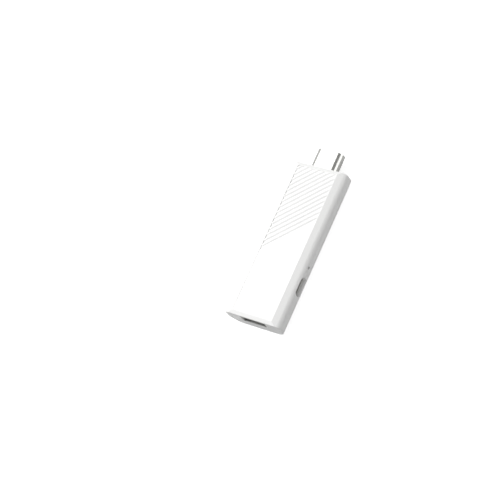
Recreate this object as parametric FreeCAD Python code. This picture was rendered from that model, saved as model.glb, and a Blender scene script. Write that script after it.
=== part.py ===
"""A white HDMI streaming stick, in millimetres, lying on its underside.

The HDMI plug points to +Y, the power socket and the reset pinhole are in the +X side, and the
ribbed top plate faces +Z. The origin is under the middle of the whole length, plug included, at the
level that the stick rests on. Each sub-part is written to parts/NODE.step.
"""
import FreeCAD
import Part
import math
import os

# Casing
body_width = 31.0
body_length = 81.0
wall = 1.6
bevel_run = 2.5
bevel_drop = 1.1
shoulder_radius = 3.7
keel_radius = 8.0
end_bevel_run = 1.8
end_bevel_drop = 0.9
end_foot_radius = 0.8
corner_radius = 0.8
inner_corner_radius = 0.2
seam_width = 0.12
seam_depth = 0.15
lip_height = 0.6
lip_gap = 0.05

# Top plate and its ribs
plate_thickness = 1.0
plate_gap = 0.05
plate_corner = 0.9
rim_land = 0.15
border_run = 1.9
border_drop = 0.15
roof_thickness = 0.9
roof_headroom = 0.5
rib_pitch = 2.1
rib_angle = 45.0
rib_start = 44.8
groove_width = 1.4
groove_depth = 0.33
plate_pin_diameter = 1.8
plate_pin_gap = 0.05
plate_pin_inset = 2.6
plate_pin_end_inset = 7.0

# Main board and what carries it
board_top = 5.0
board_thickness = 1.2
board_side_gap = 2.5
board_end_gap = 0.3
board_corner = 1.0
post_diameter = 2.6
peg_diameter = 1.5
peg_gap = 0.05
peg_recess = 0.2
post_side_inset = 2.0
post_near_place = 15.5
post_far_inset = 12.5
clamp_diameter = 2.0
clamp_side_inset = 1.4
clamp_near_place = 13.2
clamp_far_inset = 6.5
clamp_gap = 0.05

# Snap hooks of the top case
hook_width = 4.0
hook_thickness = 0.65
hook_gap = 0.2
hook_root = 1.5
ledge_thickness = 0.45
barb_reach = 0.45
barb_height = 0.6
pocket_gap = 0.05
hook_near_place = 11.0
hook_far_inset = 10.0

# Underside
vent_length = 6.4
vent_width = 1.2
vent_pitch = 2.6
vent_rows = 9
vent_side_place = 4.4
vent_far_inset = 9.0
label_width = 14.5
label_length = 32.0
label_corner = 1.0
label_recess = 0.2
label_thickness = 0.15
label_gap = 0.1
label_near_place = 9.0

# HDMI plug
plug_width = 13.9
plug_height = 4.45
plug_crown_width = 9.6
plug_shoulder_drop = 1.4
plug_bend = 0.45
plug_fold_bend = 1.6
plug_reach = 10.5
plug_root = 8.5
plug_sheet = 0.35
plug_seat = 0.075
plug_opening_gap = 0.12
plug_slot_width = 11.6
plug_slot_height = 1.9
plug_slot_depth = 8.0
plug_insulator_setback = 0.7
plug_contact_pitch = 1.0
plug_contact_width = 0.45
plug_contact_thickness = 0.2
plug_contact_setback = 1.6
plug_contacts_upper = 9
plug_contacts_lower = 10
plug_tail_step = 0.8
plug_leg_width = 1.2
plug_leg_place = 2.2
latch_window_width = 1.6
latch_window_length = 2.2
latch_window_place = 3.0
latch_window_spacing = 6.4

# USB-A socket
usb_width = 13.2
usb_height = 5.75
usb_length = 14.0
usb_sheet = 0.3
usb_setback = 0.4
usb_opening_gap = 0.1
usb_tongue_width = 11.1
usb_tongue_thickness = 1.84
usb_tongue_headroom = 0.72
usb_tongue_setback = 1.2
usb_base_length = 3.5
usb_contact_pitch = 2.25
usb_contact_width = 1.0
usb_contact_thickness = 0.25
usb_contact_setback = 1.0
usb_contacts = 4
usb_spring_width = 1.7
usb_spring_length = 5.0
usb_spring_place = 3.0
usb_spring_spacing = 5.6
usb_spring_slit = 0.35
usb_leg_width = 1.6
usb_leg_places = (3.5, 9.5)

# Power socket
power_width = 8.94
power_height = 3.26
power_length = 7.3
power_sheet = 0.25
power_place = 22.5
power_lift = 2.15
power_setback = 1.6
power_opening_gap = 0.1
power_opening_depth = 4.0
power_opening_bevel = 0.35
power_bevel_depth = 1.2
power_foot_width = 7.2
power_foot_setback = 2.6
power_heel = 0.8
power_tongue_width = 6.69
power_tongue_thickness = 0.7
power_tongue_setback = 0.6
power_base_length = 2.4
power_contact_pitch = 0.5
power_contact_width = 0.25
power_contact_thickness = 0.1
power_contact_setback = 0.4
power_contacts = 12
power_leg_width = 1.1
power_leg_place = 4.0

# Legs of the sockets through the board
leg_length = 1.8
leg_gap = 0.1

# Reset switch
switch_place = 32.4
switch_width = 4.7
switch_height = 5.6
switch_shell = 0.4
switch_back_wall = 1.5
plunger_height = 4.35
plunger_width = 1.9
plunger_thickness = 1.0
plunger_gap = 0.05
plunger_travel = 0.25
plunger_reach = 0.75
plunger_wall_gap = 1.75
plunger_flange_width = 2.7
plunger_flange_height = 1.3
plunger_flange_thickness = 0.45
plunger_cavity_gap = 0.15
dome_thickness = 0.12
dome_rise = 0.35
dome_gap = 0.05
frame_sheet = 0.15
frame_tab_width = 0.9
pinhole_diameter = 1.3
pinhole_bevel = 0.25

# Chips, cooling and small parts; the spacings are between neighbours on the board
part_spacing = 0.7
edge_spacing = 0.6
processor_size = 14.0
processor_height = 1.3
processor_carrier = 0.45
processor_rim = 0.3
processor_mark = 0.8
processor_mark_depth = 0.1
processor_place = 45.0
pad_thickness = 0.5
pad_inset = 1.0
sink_width = 16.0
sink_length = 18.0
sink_base = 1.0
sink_headroom = 0.6
sink_fins = 7
sink_fin_thickness = 0.9
memory_width = 8.0
memory_length = 13.3
memory_height = 1.0
memory_spacing = 1.8
flash_width = 11.5
flash_length = 13.0
flash_height = 1.0
power_chip_size = 5.0
power_chip_height = 0.8
inductor_size = 3.0
inductor_height = 1.5
inductor_corner = 0.4
inductors_beside_chip = 2
reservoir_width = 2.8
reservoir_length = 3.5
reservoir_height = 1.9
reservoir_place = 6.0
reservoir_spacing = 0.4
crystal_length = 3.2
crystal_width = 2.5
crystal_height = 0.8
crystal_corner = 0.4
crystal_spacing = 10.0
capacitor_length = 1.6
capacitor_width = 0.8
capacitor_pitch = 1.7
capacitors_in_row = 8
resistor_length = 1.0
resistor_width = 0.5
resistor_height = 0.35
resistor_pitch = 1.3
resistors_in_row = 5

# Radio and antenna
radio_width = 12.0
radio_length = 12.0
radio_board = 0.8
radio_far_inset = 20.0
shield_height = 1.5
shield_sheet = 0.2
shield_margin = 0.7
coax_socket_size = 2.6
coax_foot_height = 0.25
coax_socket_height = 0.5
coax_barrel_diameter = 1.8
coax_socket_spacing = 2.2
coax_socket_far_inset = 22.0
coax_plug_diameter = 2.4
coax_plug_height = 0.9
coax_diameter = 1.13
coax_bend = 2.9
coax_run = 4.0
strip_length = 18.0
strip_height = 4.8
strip_thickness = 0.2
strip_far_inset = 24.0
strip_lift = 0.4
strip_bed_thickness = 0.9
coax_strip_gap = 0.1

# Worked out from the sizes above
body_height = board_top + usb_height + roof_headroom + roof_thickness + plate_thickness
half_width = body_width / 2
near_y = -(body_length + plug_reach) / 2
far_y = near_y + body_length
board_bottom = board_top - board_thickness
parting = board_top
bevel_slope = math.atan2(bevel_drop, bevel_run)
bevel_foot_x = half_width - shoulder_radius * (1 - math.sin(bevel_slope))
bevel_foot_z = body_height - bevel_drop
shoulder_z = bevel_foot_z - shoulder_radius * math.cos(bevel_slope)
crease_x = bevel_foot_x - bevel_run
recess_half_width = crease_x - rim_land
recess_near = near_y + end_bevel_run + rim_land
recess_far = far_y - end_bevel_run - rim_land
plate_floor = body_height - plate_thickness
roof = plate_floor - roof_thickness
inner_x = half_width - wall
strip_x = inner_x - strip_bed_thickness
board_half_width = inner_x - board_side_gap
board_near = near_y + wall + board_end_gap
board_far = far_y - wall - board_end_gap
plug_bottom = board_top + plug_seat
plug_middle = plug_bottom + plug_height / 2
usb_front = near_y + usb_setback
power_front = half_width - power_setback
switch_y = near_y + switch_place
plunger_z = board_top + plunger_height
switch_front = inner_x - plunger_wall_gap - plunger_reach
switch_room = (plunger_gap + plunger_flange_thickness + plunger_travel + dome_gap + dome_thickness
               + dome_rise)
switch_depth = switch_shell + switch_room + switch_back_wall
sink_seat = board_top + processor_height + pad_thickness
board_left = -board_half_width + edge_spacing
board_right = board_half_width - edge_spacing
power_row_y = usb_front + usb_length + part_spacing + power_chip_size / 2
flash_y = power_row_y + power_chip_size / 2 + part_spacing + flash_length / 2
processor_y = near_y + processor_place
radio_x = board_left + radio_width / 2
radio_y = far_y - radio_far_inset
coax_x = board_left + radio_width + coax_socket_spacing + coax_socket_size / 2
coax_y = far_y - coax_socket_far_inset
coax_z = board_top + coax_socket_height + coax_plug_height / 2


def vector(x, y, z):
    return FreeCAD.Vector(x, y, z)


def box(x0, x1, y0, y1, z0, z1):
    """A box between two corners."""
    return Part.makeBox(x1 - x0, y1 - y0, z1 - z0, vector(x0, y0, z0))


def block(width, length, height, x, y, z):
    """A box of a width along X and a length along Y, centred on x and y, standing on z."""
    return box(x - width / 2, x + width / 2, y - length / 2, y + length / 2, z, z + height)


def cylinder(diameter, height, x, y, z):
    return Part.makeCylinder(diameter / 2, height, vector(x, y, z))


def merge(shapes):
    """One solid from several that touch or overlap."""
    first = shapes[0]
    if len(shapes) > 1:
        first = first.fuse(shapes[1:])
    return first.removeSplitter()


def arc_step(centre_a, centre_b, radius, start, end):
    """Middle and end point of an arc, for outline(); the angles are in degrees."""
    def point(angle):
        turn = math.radians(angle)
        return (centre_a + radius * math.cos(turn), centre_b + radius * math.sin(turn))
    return (point((start + end) / 2), point(end))


def outline(start, steps, place):
    """A face inside a closed outline in a plane.

    A step that is one point is reached by a line, and a pair of points by an arc. place turns a point
    of the outline into a point in space.
    """
    edges = []
    here = start
    for step in steps + [start]:
        if isinstance(step[0], tuple):
            middle, end = step
            edges.append(Part.Arc(place(*here), place(*middle), place(*end)).toShape())
        else:
            end = step
            if place(*here).distanceToPoint(place(*end)) > 1e-6:
                edges.append(Part.LineSegment(place(*here), place(*end)).toShape())
        here = end
    return Part.Face(Part.Wire(edges))


def inset_face(face, inset):
    """The same face drawn in on all sides."""
    if inset > 0:
        return face.makeOffset2D(-inset)
    return face


def rounded_plan(x0, x1, y0, y1, radius, z0, z1):
    """A plate with rounded corners, seen from above."""
    steps = [
        (x1 - radius, y0),
        arc_step(x1 - radius, y0 + radius, radius, -90, 0),
        (x1, y1 - radius),
        arc_step(x1 - radius, y1 - radius, radius, 0, 90),
        (x0 + radius, y1),
        arc_step(x0 + radius, y1 - radius, radius, 90, 180),
        (x0, y0 + radius),
        arc_step(x0 + radius, y0 + radius, radius, 180, 270),
    ]
    face = outline((x0 + radius, y0), steps, lambda x, y: vector(x, y, z0))
    return face.extrude(vector(0, 0, z1 - z0))


def casing_section():
    """Section across the casing: flat top, bevels, round shoulders, upright sides, round keel edges."""
    keel_x = half_width - keel_radius
    shoulder_x = half_width - shoulder_radius
    slope = math.degrees(bevel_slope)
    steps = [
        (keel_x, 0.0),
        arc_step(keel_x, keel_radius, keel_radius, -90, 0),
        (half_width, shoulder_z),
        arc_step(shoulder_x, shoulder_z, shoulder_radius, 0, 90 - slope),
        (crease_x, body_height),
        (-crease_x, body_height),
        (-bevel_foot_x, bevel_foot_z),
        arc_step(-shoulder_x, shoulder_z, shoulder_radius, 90 + slope, 180),
        (-half_width, keel_radius),
        arc_step(-keel_x, keel_radius, keel_radius, 180, 270),
    ]
    return outline((-keel_x, 0.0), steps, lambda x, z: vector(x, near_y, z))


def casing_side():
    """The casing seen from the side: end faces with a bevel above and a small round edge below."""
    radius = end_foot_radius
    steps = [
        (far_y - radius, 0.0),
        arc_step(far_y - radius, radius, radius, -90, 0),
        (far_y, body_height - end_bevel_drop),
        (far_y - end_bevel_run, body_height),
        (near_y + end_bevel_run, body_height),
        (near_y, body_height - end_bevel_drop),
        (near_y, radius),
        arc_step(near_y + radius, radius, radius, 180, 270),
    ]
    return outline((near_y + radius, 0.0), steps, lambda y, z: vector(-half_width, y, z))


def casing_block(inset=0.0):
    """The casing as a solid, drawn in on all sides by inset."""
    along = inset_face(casing_section(), inset).extrude(vector(0, body_length, 0))
    across = inset_face(casing_side(), inset).extrude(vector(body_width, 0, 0))
    radius = max(corner_radius - inset, inner_corner_radius)
    upright = rounded_plan(inset - half_width, half_width - inset, near_y + inset, far_y - inset,
                           radius, 0.0, body_height)
    return along.common(across).common(upright)


def slab(z0, z1):
    """Everything between two levels."""
    return box(-body_width, body_width, near_y - body_width, far_y + body_width, z0, z1)


def mirrored(places):
    """Each (x, y) place and its mirror image across the middle."""
    return [(side * x, y) for x, y in places for side in (1, -1)]


def post_places():
    x = board_half_width - post_side_inset
    return mirrored([(x, near_y + post_near_place), (x, far_y - post_far_inset)])


def clamp_places():
    x = board_half_width - clamp_side_inset
    return mirrored([(x, near_y + clamp_near_place), (x, far_y - clamp_far_inset)])


def hook_places():
    first = near_y + hook_near_place
    last = far_y - hook_far_inset
    return [first, (first + last) / 2, last]


def plate_pin_places():
    x = recess_half_width - plate_pin_inset
    first = recess_near + plate_pin_end_inset
    last = recess_far - plate_pin_end_inset
    return mirrored([(x, first), (x, (first + last) / 2), (x, last)])


def plug_profile(grow, y):
    """Section of the HDMI plug with its narrow side up, grown by a margin, at a place along Y."""
    half = plug_width / 2
    crown = plug_crown_width / 2
    low = plug_bottom
    high = plug_bottom + plug_height
    points = [(-half, low), (half, low), (half, high - plug_shoulder_drop), (crown, high),
              (-crown, high), (-half, high - plug_shoulder_drop)]
    face = outline(points[0], points[1:], lambda x, z: vector(x, y, z))
    if grow > 0:
        return face.makeOffset2D(grow, 2)
    return inset_face(face, -grow)


def plug_solid(grow, y0, y1):
    """The outside of the plug, or its inside with a negative margin, with its long edges rounded."""
    solid = plug_profile(grow, y0).extrude(vector(0, y1 - y0, 0))
    long_edges = [edge for edge in solid.Edges
                  if abs(edge.Vertexes[0].Y - edge.Vertexes[-1].Y) > (y1 - y0) / 2]
    folds = [edge for edge in long_edges
             if plug_bottom + plug_height / 2 < edge.Vertexes[0].Z < plug_bottom + plug_height - wall / 2]
    others = [edge for edge in long_edges if not any(edge.isSame(fold) for fold in folds)]
    solid = solid.makeFillet(plug_bend + grow, others)
    sharp = [edge for edge in solid.Edges
             if any(edge.CenterOfMass.distanceToPoint(fold.CenterOfMass) < plug_bend for fold in folds)]
    return solid.makeFillet(plug_fold_bend + grow, sharp)


def slot_face(width, height, x, y, z):
    """A face with fully rounded sides, square to X, as the power socket has."""
    radius = height / 2
    flat = width / 2 - radius
    steps = [
        (y + flat, z - radius),
        arc_step(y + flat, z, radius, -90, 90),
        (y - flat, z + radius),
        arc_step(y - flat, z, radius, 90, 270),
    ]
    return outline((y - flat, z - radius), steps, lambda a, b: vector(x, a, b))


def slot_solid(width, height, x0, x1, y, z):
    """A bar along X with fully rounded sides."""
    return slot_face(width, height, x0, y, z).extrude(vector(x1 - x0, 0, 0))


def power_centre():
    return near_y + power_place, board_top + power_lift + power_height / 2


def side_x(z, inset=0.0):
    """Half width of the casing, or of the casing drawn in by inset, at a level on its round sides."""
    radius = keel_radius if z < keel_radius else shoulder_radius
    rise = keel_radius - z if z < keel_radius else max(z - shoulder_z, 0.0)
    return half_width - radius + math.sqrt((radius - inset) ** 2 - rise ** 2)


def power_opening():
    """The rounded slot in the side wall, with a small bevel at its outer edge."""
    y, z = power_centre()
    width = power_width + 2 * power_opening_gap
    height = power_height + 2 * power_opening_gap
    through = slot_solid(width, height, half_width - power_opening_depth, half_width + wall, y, z)
    rear = slot_face(width, height, half_width - power_bevel_depth, y, z)
    front = slot_face(width + 2 * power_opening_bevel, height + 2 * power_opening_bevel,
                      half_width, y, z)
    flare = Part.makeLoft([rear.OuterWire, front.OuterWire], True)
    return through.fuse(flare)


def usb_opening():
    half = usb_width / 2 + usb_opening_gap
    top = board_top + usb_height + usb_opening_gap
    return box(-half, half, near_y - wall, near_y + wall + board_end_gap, board_top - usb_opening_gap, top)


def plug_opening():
    return plug_solid(plug_opening_gap, far_y - wall - board_end_gap, far_y + wall)


def pinhole():
    """The round hole for a reset pin, with a small bevel square to the round shoulder."""
    radius = pinhole_diameter / 2
    hole = Part.makeCylinder(radius, 3 * wall, vector(inner_x - wall, switch_y, plunger_z),
                             vector(1, 0, 0))
    tilt = math.asin((plunger_z - shoulder_z) / shoulder_radius)
    square = vector(math.cos(tilt), 0, math.sin(tilt))
    seat = vector(side_x(plunger_z) - pinhole_bevel / math.cos(tilt), switch_y, plunger_z)
    flare = Part.makeCone(radius, radius + 2 * pinhole_bevel, 2 * pinhole_bevel, seat, square)
    return hole.fuse(flare)


def openings():
    return [usb_opening(), plug_opening(), power_opening(), pinhole()]


def barb_top():
    return parting - lip_height - ledge_thickness - pocket_gap


def hook_face():
    """Place along X of the outside of a hook, clear of the rounded side wall down to its barb."""
    return side_x(barb_top(), wall) - hook_gap


def hook_pockets():
    """Pockets in the side walls of the lower case that the barbs of the hooks snap into."""
    low = barb_top() - barb_height - pocket_gap
    high = barb_top() + pocket_gap
    rear = hook_face() - hook_thickness - pocket_gap
    reach = hook_face() + barb_reach + pocket_gap
    pockets = []
    for y in hook_places():
        y0 = y - hook_width / 2 - pocket_gap
        y1 = y + hook_width / 2 + pocket_gap
        pockets.append(box(rear, reach, y0, y1, low, high))
        pockets.append(box(-reach, -rear, y0, y1, low, high))
    return pockets


def snap_hook(y, side):
    """A hook that hangs from the side wall of the top case, with a barb on its outside."""
    outer = hook_face()
    root = side_x(parting, wall / 2)
    inner = outer - hook_thickness
    high = parting + hook_root
    tip = barb_top() - barb_height
    points = [(inner, high), (root, high), (root, parting), (outer, parting),
              (outer, barb_top()), (outer + barb_reach, barb_top()), (outer + barb_reach / 2, tip)]
    face = outline((inner, tip), points, lambda x, z: vector(side * x, y - hook_width / 2, z))
    return face.extrude(vector(0, hook_width, 0))


def strip_bed():
    """Flat bed on the inside of the side wall, that the antenna strip is bonded to."""
    y = far_y - strip_far_inset
    z0 = board_top + strip_lift
    return box(strip_x, inner_x + wall / 4, y - strip_length / 2, y + strip_length / 2,
               z0, z0 + strip_height)


def top_case():
    """Upper case: side walls, bevels, recess for the plate, lip and hooks, strip bed, posts on the board."""
    shell = casing_block().common(slab(parting, body_height))
    cavity = casing_block(wall).common(slab(0.0, roof))
    recess = rounded_plan(-recess_half_width, recess_half_width, recess_near, recess_far,
                          plate_corner + plate_gap, plate_floor, body_height + wall)
    shell = shell.cut([cavity, recess])
    lip = casing_block(wall / 2 + lip_gap).cut(casing_block(wall))
    lip = lip.common(slab(parting - lip_height + lip_gap, parting))
    posts = [cylinder(clamp_diameter, roof - board_top - clamp_gap, x, y, board_top + clamp_gap)
             for x, y in clamp_places()]
    hooks = [snap_hook(y, side) for y in hook_places() for side in (1, -1)]
    shell = merge([shell, lip, strip_bed()] + posts + hooks)
    pin_holes = [cylinder(plate_pin_diameter + 2 * plate_pin_gap, 2 * roof_thickness, x, y,
                          roof - roof_thickness / 2) for x, y in plate_pin_places()]
    return shell.cut(openings() + pin_holes)


def rib_groove(offset):
    """A round groove across the plate, at a distance from the first one square to the ribs."""
    turn = math.radians(rib_angle)
    along = vector(math.cos(turn), math.sin(turn), 0)
    square = vector(-math.sin(turn), math.cos(turn), 0)
    reach = body_width + body_length
    radius = (groove_width ** 2 / 4 + groove_depth ** 2) / (2 * groove_depth)
    first = vector(0, near_y + rib_start, body_height + radius - groove_depth)
    start = first + square * offset - along * (reach / 2)
    return Part.makeCylinder(radius, reach, start, along)


def top_plate():
    """Cover plate: smooth near half, round grooves on the far half, sloping border, pins below."""
    half = recess_half_width - plate_gap
    y0 = recess_near + plate_gap
    y1 = recess_far - plate_gap
    low = plate_floor
    high = body_height
    edge = high - border_drop
    plan = rounded_plan(-half, half, y0, y1, plate_corner, low, high)
    section = [(half, low), (half, edge), (half - border_run, high), (border_run - half, high),
               (-half, edge)]
    along = outline((-half, low), section, lambda x, z: vector(x, y0, z))
    along = along.extrude(vector(0, y1 - y0, 0))
    side = [(y1, low), (y1, edge), (y1 - border_run, high), (y0 + border_run, high), (y0, edge)]
    across = outline((y0, low), side, lambda y, z: vector(-half, y, z))
    across = across.extrude(vector(2 * half, 0, 0))
    plate = plan.common(along).common(across)
    turn = math.radians(rib_angle)
    span = (y1 - near_y - rib_start) * math.cos(turn) + half * math.sin(turn)
    grooves = [rib_groove(number * rib_pitch) for number in range(int(span / rib_pitch) + 1)]
    plate = plate.cut(grooves)
    pins = [cylinder(plate_pin_diameter, roof_thickness, x, y, roof) for x, y in plate_pin_places()]
    return merge([plate] + pins)


def vent_cutters():
    """Two columns of round-ended slots through the floor."""
    cutters = []
    last = far_y - vent_far_inset
    for row in range(vent_rows):
        y = last - row * vent_pitch
        for x in (vent_side_place, -vent_side_place):
            cutters.append(rounded_plan(x - vent_length / 2, x + vent_length / 2, y - vent_width / 2,
                                        y + vent_width / 2, vent_width / 2, -wall, 2 * wall))
    return cutters


def label_plan(margin, z0, z1):
    half = label_width / 2 + margin
    y0 = near_y + label_near_place
    return rounded_plan(-half, half, y0 - margin, y0 + label_length + margin, label_corner, z0, z1)


def bottom_cover():
    """Lower case: a tray with vents, a label recess, posts with pegs for the board and hook pockets."""
    shell = casing_block().common(slab(0.0, parting))
    seam = casing_block().cut(casing_block(seam_depth)).common(slab(parting - seam_width, parting))
    rebate = casing_block(wall / 2).common(slab(parting - lip_height, parting))
    cavity = casing_block(wall).common(slab(0.0, parting))
    shell = shell.cut([cavity, rebate, seam])
    posts = [cylinder(post_diameter, board_bottom - wall, x, y, wall) for x, y in post_places()]
    pegs = [cylinder(peg_diameter, board_top - peg_recess - wall, x, y, wall) for x, y in post_places()]
    shell = merge([shell] + posts + pegs)
    label_bed = label_plan(label_gap, -wall, label_recess)
    return shell.cut(openings() + hook_pockets() + vent_cutters() + [label_bed])


def underside_label():
    return label_plan(0.0, label_recess - label_thickness, label_recess)


def usb_legs(margin):
    """The four legs of the USB-A socket, or their slots in the board with a margin."""
    x = (usb_width - usb_sheet) / 2
    return [block(usb_sheet + 2 * margin, usb_leg_width + 2 * margin, leg_length + usb_height / 2,
                  side * x, usb_front + place, board_top - leg_length)
            for place in usb_leg_places for side in (1, -1)]


def plug_legs(margin):
    """The two legs of the plug shell, or their slots in the board with a margin."""
    x = (plug_width - plug_sheet) / 2
    return [block(plug_sheet + 2 * margin, plug_leg_width + 2 * margin, leg_length + plug_height / 2,
                  side * x, far_y - plug_root + plug_leg_place, board_top - leg_length)
            for side in (1, -1)]


def power_legs(margin):
    """The two legs of the power socket, or their slots in the board with a margin."""
    y = (power_width - power_sheet) / 2
    return [block(power_leg_width + 2 * margin, power_sheet + 2 * margin,
                  leg_length + power_lift + power_height / 2, power_front - power_leg_place,
                  power_centre()[0] + side * y, board_top - leg_length)
            for side in (1, -1)]


def main_board():
    """Circuit board with holes for the pegs and slots for the legs of the sockets."""
    board = rounded_plan(-board_half_width, board_half_width, board_near, board_far, board_corner,
                         board_bottom, board_top)
    holes = [cylinder(peg_diameter + 2 * peg_gap, 3 * board_thickness, x, y,
                      board_bottom - board_thickness) for x, y in post_places()]
    return board.cut(holes + usb_legs(leg_gap) + plug_legs(leg_gap) + power_legs(leg_gap))


def plug_slot():
    """The slot inside the plug that the tongue of a socket enters."""
    tip = far_y + plug_reach
    return block(plug_slot_width, 2 * plug_slot_depth, plug_slot_height, 0.0, tip,
                 plug_middle - plug_slot_height / 2)


def contact_row(count, z0, z1, tail_y):
    """Straight contact strips with tails that step down to the board behind the plug."""
    tip = far_y + plug_reach - plug_contact_setback
    strips = []
    for number in range(count):
        x = (number - (count - 1) / 2) * plug_contact_pitch
        x0 = x - plug_contact_width / 2
        x1 = x + plug_contact_width / 2
        strip = box(x0, x1, tail_y, tip, z0, z1)
        drop = box(x0, x1, tail_y, tail_y + plug_contact_thickness, board_top, z1)
        foot = box(x0, x1, tail_y - plug_tail_step / 2, tail_y + plug_contact_thickness, board_top,
                   board_top + plug_contact_thickness)
        strips.append(merge([strip, drop, foot]))
    return strips


def hdmi_plug_contacts():
    """Nine upper and ten lower strips, half a pitch apart."""
    rear = far_y - plug_root
    top = plug_middle + plug_slot_height / 2
    low = plug_middle - plug_slot_height / 2
    upper = contact_row(plug_contacts_upper, top - plug_contact_thickness, top, rear - 2 * plug_tail_step)
    lower = contact_row(plug_contacts_lower, low, low + plug_contact_thickness, rear - plug_tail_step)
    return upper + lower


def hdmi_plug_insulator():
    """Sleeve that fills the plug shell and carries the contacts round the slot."""
    body = plug_solid(-plug_sheet, far_y - plug_root, far_y + plug_reach - plug_insulator_setback)
    return body.cut([plug_slot()] + hdmi_plug_contacts())


def hdmi_plug_shell():
    """Folded shell of the plug: open at both ends, two latch windows in its wide side, two legs."""
    tip = far_y + plug_reach
    rear = far_y - plug_root
    shell = plug_solid(0.0, rear, tip).cut(plug_solid(-plug_sheet, rear - wall, tip + wall))
    windows = [block(latch_window_width, latch_window_length, 2 * plug_sheet,
                     side * latch_window_spacing / 2, tip - latch_window_place,
                     plug_bottom - plug_sheet) for side in (1, -1)]
    return merge([shell.cut(windows)] + plug_legs(0.0))


def usb_springs():
    """U-shaped slits that leave a spring tongue in the upper and lower wall of the USB-A shell."""
    slits = []
    y = usb_front + usb_spring_place + usb_spring_length / 2
    outer_width = usb_spring_width + 2 * usb_spring_slit
    for z in (board_top, board_top + usb_height - usb_sheet):
        for side in (1, -1):
            x = side * usb_spring_spacing / 2
            window = block(outer_width, usb_spring_length, usb_sheet, x, y, z)
            tongue = block(usb_spring_width, usb_spring_length, usb_sheet, x, y - usb_spring_slit, z)
            slits.append(window.cut(tongue))
    return slits


def usb_socket_shell():
    """Folded shell of the USB-A socket with four springs and four legs."""
    half = usb_width / 2
    rear = usb_front + usb_length
    outer = box(-half, half, usb_front, rear, board_top, board_top + usb_height)
    inner = box(usb_sheet - half, half - usb_sheet, usb_front - wall, rear - usb_sheet,
                board_top + usb_sheet, board_top + usb_height - usb_sheet)
    long_edges = [edge for edge in outer.Edges
                  if abs(edge.Vertexes[0].Y - edge.Vertexes[-1].Y) > usb_length / 2]
    shell = outer.makeFillet(2 * usb_sheet, long_edges).cut(inner)
    return merge([shell.cut(usb_springs())] + usb_legs(0.0))


def usb_tongue_low():
    return board_top + usb_height - usb_sheet - usb_tongue_headroom - usb_tongue_thickness


def usb_socket_contacts():
    """Four strips under the tongue, with tails down to the board."""
    low = usb_tongue_low()
    rear = usb_front + usb_length - usb_sheet
    front = usb_front + usb_tongue_setback + usb_contact_setback
    strips = []
    for number in range(usb_contacts):
        x = (number - (usb_contacts - 1) / 2) * usb_contact_pitch
        x0 = x - usb_contact_width / 2
        x1 = x + usb_contact_width / 2
        strip = box(x0, x1, front, rear, low - usb_contact_thickness / 2, low + usb_contact_thickness / 2)
        drop = box(x0, x1, rear - usb_contact_thickness, rear, board_top + usb_sheet,
                   low + usb_contact_thickness / 2)
        strips.append(merge([strip, drop]))
    return strips


def usb_socket_tongue():
    """Contact carrier: a block at the back of the shell and a tongue in its upper half."""
    rear = usb_front + usb_length - usb_sheet
    low = usb_tongue_low()
    base = box(usb_sheet - usb_width / 2, usb_width / 2 - usb_sheet, rear - usb_base_length, rear,
               board_top + usb_sheet, board_top + usb_height - usb_sheet)
    tongue = box(-usb_tongue_width / 2, usb_tongue_width / 2, usb_front + usb_tongue_setback, rear,
                 low, low + usb_tongue_thickness)
    return merge([base, tongue]).cut(usb_socket_contacts())


def power_socket_shell():
    """Drawn shell of the power socket, with two legs."""
    y, z = power_centre()
    rear = power_front - power_length
    outer = slot_solid(power_width, power_height, rear, power_front, y, z)
    inner = slot_solid(power_width - 2 * power_sheet, power_height - 2 * power_sheet,
                       rear - wall, power_front + wall, y, z)
    legs = [leg.cut(inner) for leg in power_legs(0.0)]
    return merge([outer.cut(inner)] + legs)


def power_socket_contacts():
    """Two rows of strips, flush with the faces of the tongue."""
    y, z = power_centre()
    rear = power_front - power_length
    front = power_front - power_tongue_setback - power_contact_setback
    half = power_tongue_thickness / 2
    strips = []
    for number in range(power_contacts):
        across = y + (number - (power_contacts - 1) / 2) * power_contact_pitch
        y0 = across - power_contact_width / 2
        y1 = across + power_contact_width / 2
        strips.append(box(rear, front, y0, y1, z + half - power_contact_thickness, z + half))
        strips.append(box(rear, front, y0, y1, z - half, z - half + power_contact_thickness))
    return strips


def power_socket_tongue():
    """Contact carrier: a plug at the back of the shell, a thin tongue, and a foot under the shell."""
    y, z = power_centre()
    rear = power_front - power_length
    base = slot_solid(power_width - 2 * power_sheet, power_height - 2 * power_sheet,
                      rear, rear + power_base_length, y, z)
    tongue = box(rear, power_front - power_tongue_setback, y - power_tongue_width / 2,
                 y + power_tongue_width / 2, z - power_tongue_thickness / 2,
                 z + power_tongue_thickness / 2)
    heel = box(rear - power_heel, rear, y - power_foot_width / 2, y + power_foot_width / 2,
               board_top, z)
    foot = box(rear - power_heel, power_front - power_foot_setback, y - power_foot_width / 2,
               y + power_foot_width / 2, board_top, z - power_height / 2)
    return merge([base, tongue, heel, foot]).cut(power_socket_contacts())


def reset_plunger():
    """Plunger with a flange that the switch body keeps in; a pin through the pinhole pushes it."""
    tip = switch_front + plunger_reach
    seat = switch_front - switch_shell - plunger_gap
    back = seat - plunger_flange_thickness
    stem = box(back, tip, switch_y - plunger_width / 2, switch_y + plunger_width / 2,
               plunger_z - plunger_thickness / 2, plunger_z + plunger_thickness / 2)
    flange = box(back, seat, switch_y - plunger_flange_width / 2, switch_y + plunger_flange_width / 2,
                 plunger_z - plunger_flange_height / 2, plunger_z + plunger_flange_height / 2)
    return merge([stem, flange])


def switch_cavity():
    """Room inside the switch body for the flange, its travel and the dome."""
    front = switch_front - switch_shell
    half_y = plunger_flange_width / 2 + plunger_cavity_gap
    half_z = plunger_flange_height / 2 + plunger_cavity_gap
    return box(front - switch_room, front, switch_y - half_y, switch_y + half_y,
               plunger_z - half_z, plunger_z + half_z)


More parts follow.
